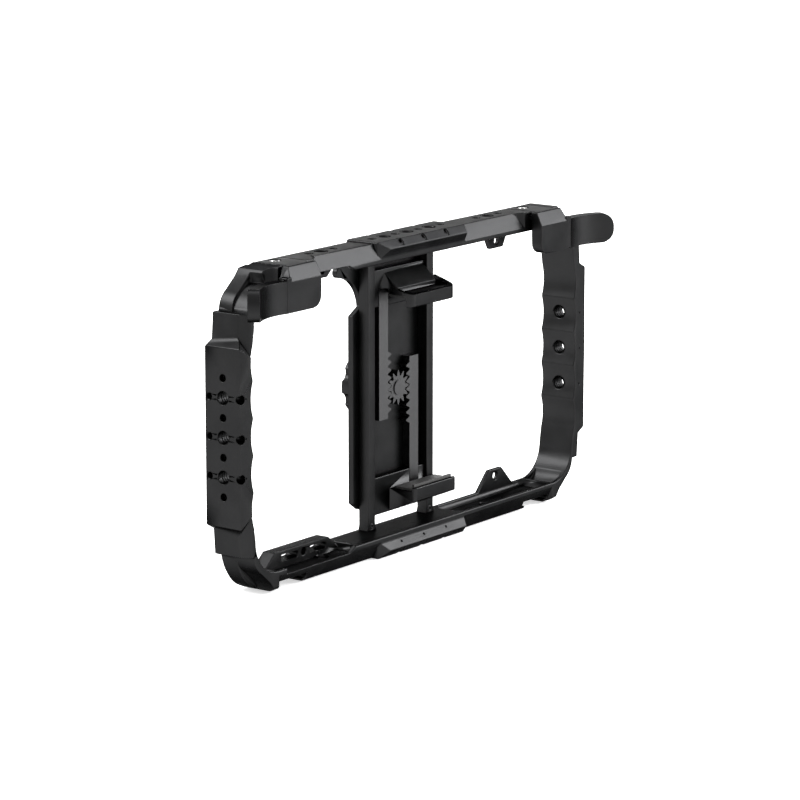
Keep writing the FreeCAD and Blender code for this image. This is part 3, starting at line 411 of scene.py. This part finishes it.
def distance_to_edge(point, start, end):
    """How far a point lies from the edge between start and end."""
    along = end - start
    share = max(0.0, min(1.0, (point - start).dot(along) / max(along.length_squared, TINY)))
    return (point - start - share * along).length


# %% [markdown]
# ## Breaking a piece's edges
# A first try bevels every sharp outer edge. Edges near a stray are made narrower, and the whole piece is
# bevelled again from its sharp mesh, a few times at most.

# %% Break the edges of a piece
WELD = 0.004 * MM
ROOM_SHARE = 0.35
TRIES = 6
NEIGHBOURHOOD = 5.0 * MM
NARROWER = 0.6


def break_edges(piece, width):
    """Bevels the sharp outer edges, and narrows those whose bevels stray off the surface."""
    merge_points(piece, WELD)
    shape = bmesh.new()
    shape.from_mesh(piece.data)
    sharp = {edge for edge in shape.edges if is_sharp(edge)}
    widths = {e.index: min(width, ROOM_SHARE * room_beside(e, sharp)) for e in sharp if e.is_convex}
    ends = {e.index: (e.verts[0].co.copy(), e.verts[1].co.copy()) for e in sharp}
    surface = BVHTree.FromBMesh(shape)
    shape.free()
    for attempt in range(TRIES):
        result = bevelled(piece, widths)
        stray = [v.co.copy() for v in result.vertices if strays(surface, v.co, width)]
        if not stray:
            break
        for index in list(widths):
            near = min(distance_to_edge(point, *ends[index]) for point in stray)
            if near < NEIGHBOURHOOD:
                widths[index] *= NARROWER
    piece.data = result
    print(piece.name, len(widths), "edges broken,", len(stray), "stray points after try", attempt + 1)


# %% [markdown]
# ## Finishing a piece
# The small bevels are shaded smooth and the large faces stay flat, because Weighted Normal lets the large
# faces decide how the light falls. The piece then takes its node's place and moves with the same body.

# %% Finish a piece
SMOOTH_BELOW = math.radians(50.0)
LARGE_FACES_FIRST = 100


def finish_piece(piece, node_name=None):
    """Shades the piece and sets it on its node's body; a piece with no node rides with the frame."""
    select_only(piece)
    bpy.ops.object.shade_smooth_by_angle(angle=SMOOTH_BELOW)
    even = piece.modifiers.new("flat_areas", "WEIGHTED_NORMAL")
    even.keep_sharp = True
    even.weight = LARGE_FACES_FIRST
    bpy.ops.object.modifier_apply(modifier=even.name)
    if node_name is not None:
        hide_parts(node_name)
    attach(piece, NODES[node_name or "cage_frame"]["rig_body"])
    print(piece.name, len(piece.data.polygons), "faces")


# %% [markdown]
# ## The pieces with broken edges
# A large machined piece has a wider broken edge than a slim post. The widths are in millimetres. The copies
# are made now, and their edges are broken last, after all cuts.

# %% Copy the pieces
BROKEN = {
    "cage_frame": 0.45, "thumb_rest_left": 0.40, "thumb_rest_right": 0.40, "guide_post_left": 0.25,
    "guide_post_right": 0.25, "clamp_plate": 0.30, "upper_jaw": 0.45, "lower_jaw": 0.35, "clamp_knob": 0.50,
}
PIECES = {name: merged_copy(name, name + "_broken_edges") for name in BROKEN}
print("copied", len(PIECES), "pieces")

# %% [markdown]
# ## Tools for cutting
# Holes and notches are cut as in a workshop: a plain rod or block stands where the hole will be, a Boolean
# modifier takes it out of the piece, and the tool is deleted.


# %% Rods and blocks
def rod(name, sides, radius, start, end, turn=0.0, point=0.0):
    """A rod with any number of sides, from start to end; a drill also has a point past its end."""
    start, end = Vector(start), Vector(end)
    length = (end - start).length
    bpy.ops.object.select_all(action="DESELECT")
    bpy.ops.mesh.primitive_cylinder_add(vertices=sides, radius=radius, depth=length, end_fill_type="TRIFAN")
    piece = bpy.context.active_object
    piece.name = name
    for corner in piece.data.vertices:
        if corner.co.z > 0.0 and corner.co.xy.length < 0.5 * radius:
            corner.co.z += point
    swing = (end - start).to_track_quat("Z", "Y").to_matrix().to_4x4()
    spot = Matrix.Translation((start + end) / 2)
    piece.data.transform(spot @ swing @ Matrix.Rotation(turn, 4, "Z"))
    return piece


def block(name, low, high):
    """A plain block between two corners."""
    low, high = Vector(low), Vector(high)
    bpy.ops.object.select_all(action="DESELECT")
    bpy.ops.mesh.primitive_cube_add(size=1.0)
    piece = bpy.context.active_object
    piece.name = name
    size = high - low
    piece.data.transform(Matrix.Translation((low + high) / 2) @ Matrix.Diagonal((*size, 1.0)))
    return piece


# %% [markdown]
# ## Cutting and welding
# All the tools for one piece are joined first and then taken out of it in one go. The exact solver is used
# for this, because it copes with faces that lie in one plane.


# %% Cut out and join on
def cut_out(piece, tools):
    """Takes the tools' shapes out of the piece, all in one go, and deletes them."""
    bpy.ops.object.select_all(action="DESELECT")
    for tool in tools:
        tool.select_set(True)
    bpy.context.view_layer.objects.active = tools[0]
    if len(tools) > 1:
        bpy.ops.object.join()
    hole = piece.modifiers.new("hole", "BOOLEAN")
    hole.operation = "DIFFERENCE"
    hole.solver = "EXACT"
    hole.object = tools[0]
    select_only(piece)
    bpy.ops.object.modifier_apply(modifier=hole.name)
    bpy.data.objects.remove(tools[0])
    print(piece.name, "cut, now", len(piece.data.polygons), "faces")


def join_on(piece, addition):
    """Welds an addition onto the piece and deletes it."""
    weld = piece.modifiers.new("weld", "BOOLEAN")
    weld.operation = "UNION"
    weld.solver = "EXACT"
    weld.object = addition
    select_only(piece)
    bpy.ops.object.modifier_apply(modifier=weld.name)
    bpy.data.objects.remove(addition)


# %% [markdown]
# ## The CAD tab, drawn up
# On the real cage the drilled tab under the top rail reaches lower than the CAD one. In the frame's copy the
# CAD tab is first drawn up, so that the new one hides it.

# %% Draw the CAD tab up
RING_TOP = cad_box[1][2]
RAIL = 8.4 * MM
TAB_X = 71.4 * MM
TAB_FRONT, TAB_BACK = 6.35 * MM, 8.22 * MM
TAB_AROUND = 14.0 * MM
TAB_BELOW = 6.0 * MM
HIDDEN_TAB = 3.2 * MM

rail_low = RING_TOP - RAIL
hidden_low = rail_low - HIDDEN_TAB
for point in PIECES["cage_frame"].data.vertices:
    x, y, z = point.co
    if abs(x - TAB_X) < TAB_AROUND and y > TAB_FRONT and rail_low - TAB_BELOW < z < hidden_low:
        point.co.z = hidden_low
print("CAD tab drawn up to", round(hidden_low * 1000, 1), "mm")

# %% [markdown]
# ## The new tab
# The new tab is a block whose lower end is drawn together, with its hole drilled through near the tip. It
# stands round what is left of the CAD tab.

# %% Build the new tab
TAB_REACH = 8.0 * MM
TAB_HALF_TIP = 4.5 * MM
TAB_HALF_ROOT = 9.0 * MM
TAB_HOLE_R = 1.6 * MM
TAB_HOLE_UP = 3.0 * MM
TAB_HOLE_SIDES = 32
TAB_EDGE = 0.3 * MM
DRILL_THROUGH = 0.02

tab_low = rail_low - TAB_REACH
tab_start = (TAB_X - TAB_HALF_ROOT, TAB_FRONT, tab_low)
tab = block("upper_rear_tab", tab_start, (TAB_X + TAB_HALF_ROOT, TAB_BACK, rail_low))
for point in tab.data.vertices:
    if point.co.z < tab_low + MM:
        point.co.x = TAB_X + (point.co.x - TAB_X) * TAB_HALF_TIP / TAB_HALF_ROOT
hole_z = tab_low + TAB_HOLE_UP
hole_end = (TAB_X, DRILL_THROUGH, hole_z)
cut_out(tab, [rod("drill", TAB_HOLE_SIDES, TAB_HOLE_R, (TAB_X, 0.0, hole_z), hole_end)])
tab.data.materials.append(FRAME_FINISH)
break_edges(tab, TAB_EDGE)
finish_piece(tab)
print("tab down to", round(tab_low * 1000, 1), "mm")

# %% [markdown]
# ## The thumb rests' paddles
# A real paddle is a thick plate with a round tip that curls forward, so that its face is a shallow hollow for
# the thumb. The CAD paddle is cut off the copy at the block's side to make room for one.

# %% Cut the plain paddles off
BLOCK_SIDE = 94.35 * MM
SAW_END = 0.13
SAW_FRONT = -0.03
SAW_LOW, SAW_HIGH = 0.1, 0.13
for name in ("thumb_rest_left", "thumb_rest_right"):
    side = -1 if name.endswith("left") else 1
    near, far = sorted((side * BLOCK_SIDE, side * SAW_END))
    cut_out(PIECES[name], [block("saw", (near, SAW_FRONT, SAW_LOW), (far, 0.0, SAW_HIGH))])

# %% [markdown]
# ## A flat plate in strips
# The new paddle starts as a flat plate. Its two outer corners are bevelled into a round tip, and it is cut
# across into narrow strips, so that it can be bent later.

# %% Flat plate
PADDLE_LOW = RING_TOP - 17.5 * MM
PADDLE_HIGH = RING_TOP - 5.3 * MM
PADDLE_THICK = 4.6 * MM
ROOT_IN = 2.0 * MM
ROLL_R = 26.0 * MM
ROLL_START = math.radians(-14.0)
ROLL_END = math.radians(42.0)
TIP_R = 5.4 * MM
TIP_STEPS = 8
STRIP = 1.4 * MM
flat_length = ROOT_IN + ROLL_R * (ROLL_END - ROLL_START)


def flat_plate(name):
    """The plate before rolling, from 0 to its length along X, its face at Y = 0."""
    plate = block(name, (0.0, 0.0, PADDLE_LOW), (flat_length, PADDLE_THICK, PADDLE_HIGH))
    select_only(plate)
    bpy.ops.object.mode_set(mode="EDIT")
    bpy.ops.mesh.select_mode(type="EDGE")
    bpy.ops.mesh.select_all(action="DESELECT")
    bpy.ops.object.mode_set(mode="OBJECT")
    for edge in plate.data.edges:
        a, b = (plate.data.vertices[i].co for i in edge.vertices)
        edge.select = min(a.x, b.x) > flat_length - MM and abs(a.y - b.y) > MM
    bpy.ops.object.mode_set(mode="EDIT")
    bpy.ops.mesh.bevel(offset=TIP_R, segments=TIP_STEPS, affect="EDGES")
    for i in range(int(flat_length / STRIP)):
        bpy.ops.mesh.select_all(action="SELECT")
        place = (ROOT_IN + i * STRIP, 0.0, 0.0)
        bpy.ops.mesh.bisect(plane_co=place, plane_no=(1.0, 0.0, 0.0))
    bpy.ops.object.mode_set(mode="OBJECT")
    return plate


print("flat plate", round(flat_length * 1000, 2), "mm long")

# %% [markdown]
# ## Rolling the plate
# Each strip is laid along an arc, as a plate is rolled. The arc starts a little backwards, so that the face
# is hollow, and ends curled forward. The left paddle is the mirror image, and mirroring turns faces inside
# out, so they are flipped. A rounded rim comes last, and the plate is welded to its block.

# %% Roll and weld
PADDLE_FRONT = -14.4 * MM
RIM = 0.9 * MM
RIM_STEPS = 4
RIM_ANGLE = math.radians(50.0)


def rolled(along, back):
    """Where a point of the flat plate lies once it is rolled: X and Y for a right-hand paddle."""
    if along < ROOT_IN:
        return BLOCK_SIDE - ROOT_IN + along, PADDLE_FRONT + back
    angle = ROLL_START + (along - ROOT_IN) / ROLL_R
    x = BLOCK_SIDE + ROLL_R * (math.sin(angle) - math.sin(ROLL_START))
    y = PADDLE_FRONT - ROLL_R * (math.cos(ROLL_START) - math.cos(angle))
    return x + back * math.sin(angle), y + back * math.cos(angle)


for name, side in (("thumb_rest_left", -1), ("thumb_rest_right", 1)):
    paddle = flat_plate(name + "_paddle")
    for point in paddle.data.vertices:
        x, y = rolled(point.co.x, point.co.y)
        point.co.x, point.co.y = side * x, y
    if side < 0:
        paddle.data.flip_normals()
    rim = paddle.modifiers.new("rim", "BEVEL")
    rim.width = RIM
    rim.segments = RIM_STEPS
    rim.limit_method = "ANGLE"
    rim.angle_limit = RIM_ANGLE
    select_only(paddle)
    bpy.ops.object.modifier_apply(modifier=rim.name)
    reach = max(abs(point.co.x) for point in paddle.data.vertices)
    forward = min(point.co.y for point in paddle.data.vertices)
    print(paddle.name, "reaches", round(reach * 1000, 2), "mm of", round(cad_box[1][0] * 1000, 2),
          "and forward", round(forward * 1000, 2), "of", round(cad_box[0][1] * 1000, 2))
    join_on(PIECES[name], paddle)

# %% [markdown]
# ## Notches and pinholes
# The accessory flanges have short notches across their outer edges, in line with the threads, which stop a
# clamp from sliding. Beside each thread there is also a pinhole in the face of the flange or of the grip.
# Both are small machining marks, cut into the frame's copy.

# %% Cut the notches and pinholes
HOLE_PITCH = 15.0 * MM
NOTCH_HALF = 1.05 * MM
NOTCH_DOWN = 1.7 * MM
NOTCH_IN, NOTCH_OUT = 6.9 * MM, 0.012
ABOVE, BELOW = 0.13, -0.005
GRIP_EDGE = 8.2 * MM
GRIP_PIN_X = 111.4 * MM
PIN_R = 0.38 * MM
PIN_DEEP = 1.0 * MM
PIN_SIDES = 12
FLANK_Y, FLANK_UP = 8.76 * MM, 5.0 * MM
FLANK_SLOPE = Vector((0.0, 0.82, -0.57))
middle = RING_TOP / 2

tools = []
for i in (-1, 0, 1):
    x = i * HOLE_PITCH
    left, right = x - NOTCH_HALF, x + NOTCH_HALF
    for side in (-1, 1):
        near, far = sorted((side * NOTCH_IN, side * NOTCH_OUT))
        tools.append(block("notch", (left, near, RING_TOP - NOTCH_DOWN), (right, far, ABOVE)))
        tools.append(block("notch", (left, near, BELOW), (right, far, NOTCH_DOWN)))
        mouth = Vector((side * GRIP_PIN_X, -GRIP_EDGE, middle + x))
        before, bottom = mouth - Vector((0.0, MM, 0.0)), mouth + Vector((0.0, PIN_DEEP, 0.0))
        tools.append(rod("pin", PIN_SIDES, PIN_R, before, bottom))
    mouth = Vector((x, -FLANK_Y, FLANK_UP))
    tools.append(rod("pin", PIN_SIDES, PIN_R, mouth - MM * FLANK_SLOPE, mouth + PIN_DEEP * FLANK_SLOPE))
cut_out(PIECES["cage_frame"], tools)

# %% [markdown]
# ## Filling the left grip's locating holes
# The small holes beside the left grip's threads lie a little too far out in the CAD frame, so that they break
# through its edges. Each is first filled with a small block that ends level with the grip's faces.

# %% Fill the old holes
GRIP_OUTER = 115.0 * MM
FILL_DEEP = 2.6 * MM
FILL_WIDE = 2.3 * MM
OLD_HOLE = 1.8 * MM
for i in (-1, 0, 1):
    z = middle + i * HOLE_PITCH
    for side in (-1, 1):
        near, far = sorted((side * (GRIP_EDGE - FILL_WIDE), side * GRIP_EDGE))
        low = (-GRIP_OUTER, near, z - OLD_HOLE)
        join_on(PIECES["cage_frame"], block("fill", low, (FILL_DEEP - GRIP_OUTER, far, z + OLD_HOLE)))
print("filled, now", len(PIECES["cage_frame"].data.polygons), "faces")

# %% [markdown]
# ## Drilling them again
# The rear holes come nearer to the thread, and the front ones run at a slant across the grip's edge, as on
# the real one. The holes between the threads are drilled deeper. Each drill has a conical point, as a real
# one leaves.

# %% Drill again
DRILL_SIDES = 16
DRILL_FROM = -0.116
REAR_Y, REAR_R = 6.5 * MM, 1.2 * MM
REAR_DEEP, REAR_POINT = 2.4 * MM, MM
SLANT = Vector((0.50, 0.866, 0.0))
SLANT_R = 1.75 * MM
SLANT_MOUTH = 0.8 * MM
SLANT_BEFORE, SLANT_DEEP, SLANT_POINT = 3.0 * MM, 3.2 * MM, 1.8 * MM
MIDDLE_R = 1.42 * MM
MIDDLE_DEEP, MIDDLE_POINT = 3.4 * MM, 1.2 * MM

drills = []
for i in (-1, 0, 1):
    z = middle + i * HOLE_PITCH
    bottom = (REAR_DEEP - GRIP_OUTER, REAR_Y, z)
    drills.append(rod("drill", DRILL_SIDES, REAR_R, (DRILL_FROM, REAR_Y, z), bottom, 0.0, REAR_POINT))
    mouth = Vector((SLANT_MOUTH - GRIP_OUTER, -GRIP_EDGE, z))
    before, bottom = mouth - SLANT_BEFORE * SLANT, mouth + SLANT_DEEP * SLANT
    drills.append(rod("drill", DRILL_SIDES, SLANT_R, before, bottom, 0.0, SLANT_POINT))
for i in (-1.5, -0.5, 0.5, 1.5):
    z = middle + i * HOLE_PITCH
    bottom = (MIDDLE_DEEP - GRIP_OUTER, 0.0, z)
    drills.append(rod("drill", DRILL_SIDES, MIDDLE_R, (DRILL_FROM, 0.0, z), bottom, 0.0, MIDDLE_POINT))
cut_out(PIECES["cage_frame"], drills)

# %% [markdown]
# ## Finding the screws
# A node of screws can hold several loose solids. Each one is a group of points that are linked by edges, and
# the middle of its outer face is where its socket goes.


# %% Where the heads are
def islands(shape):
    """The points of each connected part of a mesh."""
    bmesh.ops.remove_doubles(shape, verts=shape.verts, dist=TOUCHING)
    left = set(shape.verts)
    groups = []
    while left:
        reached = [left.pop()]
        group = []
        while reached:
            point = reached.pop()
            group.append(tuple(point.co))
            for edge in point.link_edges:
                other = edge.other_vert(point)
                if other in left:
                    left.remove(other)
                    reached.append(other)
        groups.append(group)
    return groups


def head_centres(node_name, axis, side):
    """The middles of the outer faces of a node's separate screws, on the side given by the sign."""
    shape = bmesh.new()
    shape.from_mesh(NODES[node_name].data)
    centres = []
    for points in islands(shape):
        low = [min(p[i] for p in points) for i in range(3)]
        high = [max(p[i] for p in points) for i in range(3)]
        centre = [(a + b) / 2 for a, b in zip(low, high)]
        centre[axis] = high[axis] if side > 0 else low[axis]
        centres.append(tuple(centre))
    shape.free()
    return centres


# %% [markdown]
# ## Screws with sockets
# The CAD screws are plain heads. Each real one has a hexagonal socket, so a copy of each screw node gets its
# sockets cut out with a six-sided rod, and its edges are broken too. For each node the list gives the axis
# and side of its heads, and in millimetres the socket's width across flats, its depth and the broken edge.

# %% Sockets
SOCKET_TURN = math.radians(12.0)
SOCKETS = {
    "thumb_rest_screw_left": (2, 1, 2.4, 1.6, 0.25), "thumb_rest_screw_right": (2, 1, 2.4, 1.6, 0.25),
    "post_screws": (1, -1, 1.1, 0.8, 0.08), "plate_screws": (1, 1, 2.0, 0.9, 0.2),
    "knob_screw": (1, 1, 3.0, 1.4, 0.3),
}


def socketed(node_name, centres, out, across, depth, edge):
    """Replaces a node of screws by a copy with a hexagonal socket at each centre, opening towards out."""
    piece = merged_copy(node_name, node_name + "_socketed")
    keys = []
    for centre in centres:
        bottom, top = Vector(centre) - depth * out, Vector(centre) + MM * out
        keys.append(rod("key", 6, across / math.sqrt(3), bottom, top, SOCKET_TURN))
    cut_out(piece, keys)
    break_edges(piece, edge)
    finish_piece(piece, node_name)


for name, (axis, side, across, depth, edge) in SOCKETS.items():
    out = Vector((0.0, 0.0, 0.0))
    out[axis] = float(side)
    socketed(name, head_centres(name, axis, side), out, across * MM, depth * MM, edge * MM)

# %% [markdown]
# ## One thread
# The large holes take accessory screws, so their walls carry a thread: a ridge that winds round the hole, one
# turn for each pitch. One small outline, a triangle with a blunt crest, is drawn beside an upright axis, and
# a Screw modifier winds it up. Its two ends are closed, and the ridge is laid along the hole's own axis.

# %% Wind a ridge
THREAD_R = 2.6 * MM
THREAD_PITCH = 1.27 * MM
THREAD_RISE = 0.18 * MM
ROOT_UNDER = 0.03 * MM
ROOT_SHARE, CREST_SHARE = 0.42, 0.08
TURN_STEPS = 24
SPARE_TURNS = 0.9
FIRST_TURN = 0.6


def close_ends(ridge):
    """Fills the two open ends of a wound ridge and turns its faces outwards."""
    bpy.ops.object.mode_set(mode="EDIT")
    bpy.ops.mesh.select_mode(type="EDGE")
    bpy.ops.mesh.select_all(action="DESELECT")
    bpy.ops.mesh.select_non_manifold(extend=False)
    bpy.ops.mesh.edge_face_add()
    bpy.ops.mesh.select_all(action="SELECT")
    bpy.ops.mesh.normals_make_consistent(inside=False)
    bpy.ops.object.mode_set(mode="OBJECT")


def thread(start, end):
    """The ridge of one threaded hole, from start to end along the hole's axis."""
    start, end = Vector(start), Vector(end)
    root, half = THREAD_R + ROOT_UNDER, ROOT_SHARE * THREAD_PITCH
    top, crest = THREAD_R - THREAD_RISE, CREST_SHARE * THREAD_PITCH
    outline = [(root, 0.0, -half), (top, 0.0, -crest), (top, 0.0, crest), (root, 0.0, half)]
    mesh = bpy.data.meshes.new("ridge")
    mesh.from_pydata(outline, [(0, 1), (1, 2), (2, 3), (3, 0)], [])
    ridge = bpy.data.objects.new("ridge", mesh)
    bpy.context.scene.collection.objects.link(ridge)
    wind = ridge.modifiers.new("wind", "SCREW")
    wind.screw_offset = THREAD_PITCH
    wind.iterations = int((end - start).length / THREAD_PITCH - SPARE_TURNS)
    wind.steps = wind.render_steps = TURN_STEPS
    wind.use_smooth_shade = True
    select_only(ridge)
    bpy.ops.object.modifier_apply(modifier=wind.name)
    close_ends(ridge)
    swing = (end - start).to_track_quat("Z", "Y").to_matrix().to_4x4()
    lift = Matrix.Translation((0.0, 0.0, FIRST_TURN * THREAD_PITCH))
    ridge.data.transform(Matrix.Translation(start) @ swing @ lift)
    return ridge


# %% [markdown]
# ## Threads in all large holes
# The holes stand in rows at one pitch: three through each grip, three in the middle of each rail, and one
# more towards each end of a rail. All ridges are joined into one piece that rides with the frame.

# %% Threads in the large holes
GRIP_INNER = 107.0 * MM
RAIL_THREAD = 6.4 * MM
OUTER_THREAD_X = 55.0 * MM
MOUTH = 0.9 * MM
THREAD_SMOOTH = math.radians(40.0)

ridges = []
for i in (-1, 0, 1):
    z = middle + i * HOLE_PITCH
    for side in (-1, 1):
        ridges.append(thread((side * GRIP_INNER, 0.0, z), (side * (GRIP_OUTER - MOUTH), 0.0, z)))
for x in (-OUTER_THREAD_X, -HOLE_PITCH, 0.0, HOLE_PITCH, OUTER_THREAD_X):
    ridges.append(thread((x, 0.0, MOUTH), (x, 0.0, RAIL_THREAD)))
    ridges.append(thread((x, 0.0, RING_TOP - RAIL_THREAD), (x, 0.0, RING_TOP - MOUTH)))
bpy.ops.object.select_all(action="DESELECT")
for ridge in ridges:
    ridge.select_set(True)
threads = ridges[0]
bpy.context.view_layer.objects.active = threads
bpy.ops.object.join()
threads.name = "thread_turns"
threads.data.materials.append(FRAME_FINISH)
select_only(threads)
bpy.ops.object.shade_smooth_by_angle(angle=THREAD_SMOOTH)
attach(threads, NODES["cage_frame"]["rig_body"])
print("threads", len(threads.data.polygons), "faces")

# %% [markdown]
# ## Break the edges
# Only now, with all shapes corrected, are the edges broken and the copies put in the nodes' places.

# %% Put the copies in place
for node_name, width in BROKEN.items():
    break_edges(PIECES[node_name], width * MM)
    finish_piece(PIECES[node_name], node_name)

# %% [markdown]
# ## The floor
# The cage stands on a white floor with no edge in sight. A glow that only the camera and reflections see
# turns the floor white. It adds nothing to the light that dull surfaces get. Light Path tells which kind of
# ray is looking.

# %% Floor
FLOOR_Z = cad_box[0][2]
FLOOR_SIZE = 12.0
FLOOR_COLOUR = (0.86, 0.86, 0.86, 1.0)
FLOOR_ROUGHNESS = 0.9
FLOOR_SHINE = 0.1
FLOOR_GLOW = 0.60
WHITE = (1.0, 1.0, 1.0, 1.0)


def seen_directly(tree):
    """1 for camera, glossy and transmission rays, and 0 for the rest."""
    path = tree.nodes.new("ShaderNodeLightPath")
    first = tree.nodes.new("ShaderNodeMath")
    first.operation = "MAXIMUM"
    tree.links.new(path.outputs["Is Camera Ray"], first.inputs[0])
    tree.links.new(path.outputs["Is Glossy Ray"], first.inputs[1])
    second = tree.nodes.new("ShaderNodeMath")
    second.operation = "MAXIMUM"
    tree.links.new(first.outputs[0], second.inputs[0])
    tree.links.new(path.outputs["Is Transmission Ray"], second.inputs[1])
    return second.outputs[0]


bpy.ops.object.select_all(action="DESELECT")
bpy.ops.mesh.primitive_plane_add(size=FLOOR_SIZE, location=(0.0, 0.0, FLOOR_Z))
floor = bpy.context.active_object
floor.name = "floor"
floor_finish = bpy.data.materials.new("floor_white")
floor_finish.use_nodes = True
tree = floor_finish.node_tree
shader = tree.nodes["Principled BSDF"]
shader.inputs["Base Color"].default_value = FLOOR_COLOUR
shader.inputs["Roughness"].default_value = FLOOR_ROUGHNESS
shader.inputs["Specular IOR Level"].default_value = FLOOR_SHINE
shader.inputs["Emission Color"].default_value = WHITE
strength = tree.nodes.new("ShaderNodeMath")
strength.operation = "MULTIPLY"
strength.inputs[1].default_value = FLOOR_GLOW
tree.links.new(seen_directly(tree), strength.inputs[0])
tree.links.new(strength.outputs[0], shader.inputs["Emission Strength"])
floor.data.materials.append(floor_finish)
print("floor at", FLOOR_Z)

# %% [markdown]
# ## The world
# The world is white where the camera or a reflection looks at it, and gives a weaker, even light to all else.

# %% World
WORLD_LIGHT = 0.4
WORLD_SEEN = 1.0
world = bpy.data.worlds.new("world")
world.use_nodes = True
bpy.context.scene.world = world
tree = world.node_tree
sky = tree.nodes["Background"]
sky.inputs["Color"].default_value = WHITE
level = tree.nodes.new("ShaderNodeMapRange")
level.inputs["To Min"].default_value = WORLD_LIGHT
level.inputs["To Max"].default_value = WORLD_SEEN
tree.links.new(seen_directly(tree), level.inputs["Value"])
tree.links.new(level.outputs[0], sky.inputs["Strength"])
print("world light", WORLD_LIGHT)

# %% [markdown]
# ## The lights
# A black, satin surface shows little but what it reflects, so each light is placed where a group of faces
# reflects it. The strongest stands at the right front and the next behind on the left. Two of middle strength
# hang on the right and overhead, and three weak ones fill in from low down and from behind. Each entry gives
# a light's place, its size in metres and its power in watts.

# %% Lights
AIM = (0.0, 0.0, 0.06)
LIGHTS = {
    "right_front": ((1.25, -0.90, 0.62), (0.60, 0.70), 36.0),
    "behind_left": ((-0.80, 0.85, 1.12), (0.70, 0.70), 26.0),
    "behind_right": ((1.26, 0.92, 0.45), (0.90, 0.40), 2.6),
    "right_top": ((1.26, -0.27, 0.99), (0.50, 0.50), 14.0),
    "low_front": ((0.85, -1.25, 0.16), (0.40, 0.28), 2.0),
    "overhead": ((0.45, 0.60, 1.40), (1.00, 0.80), 14.0),
    "behind_low": ((0.95, 1.20, 0.14), (0.60, 0.30), 4.0),
}


def soft_light(name, place, size, power):
    """A rectangular area light that faces the cage."""
    data = bpy.data.lights.new(name, "AREA")
    data.shape = "RECTANGLE"
    data.size, data.size_y = size
    data.energy = power
    light = bpy.data.objects.new(name, data)
    light.location = place
    light.rotation_euler = (Vector(AIM) - Vector(place)).to_track_quat("-Z", "Y").to_euler()
    bpy.context.scene.collection.objects.link(light)


for name, (place, size, power) in LIGHTS.items():
    soft_light(name, place, size, power)
print(len(LIGHTS), "lights")
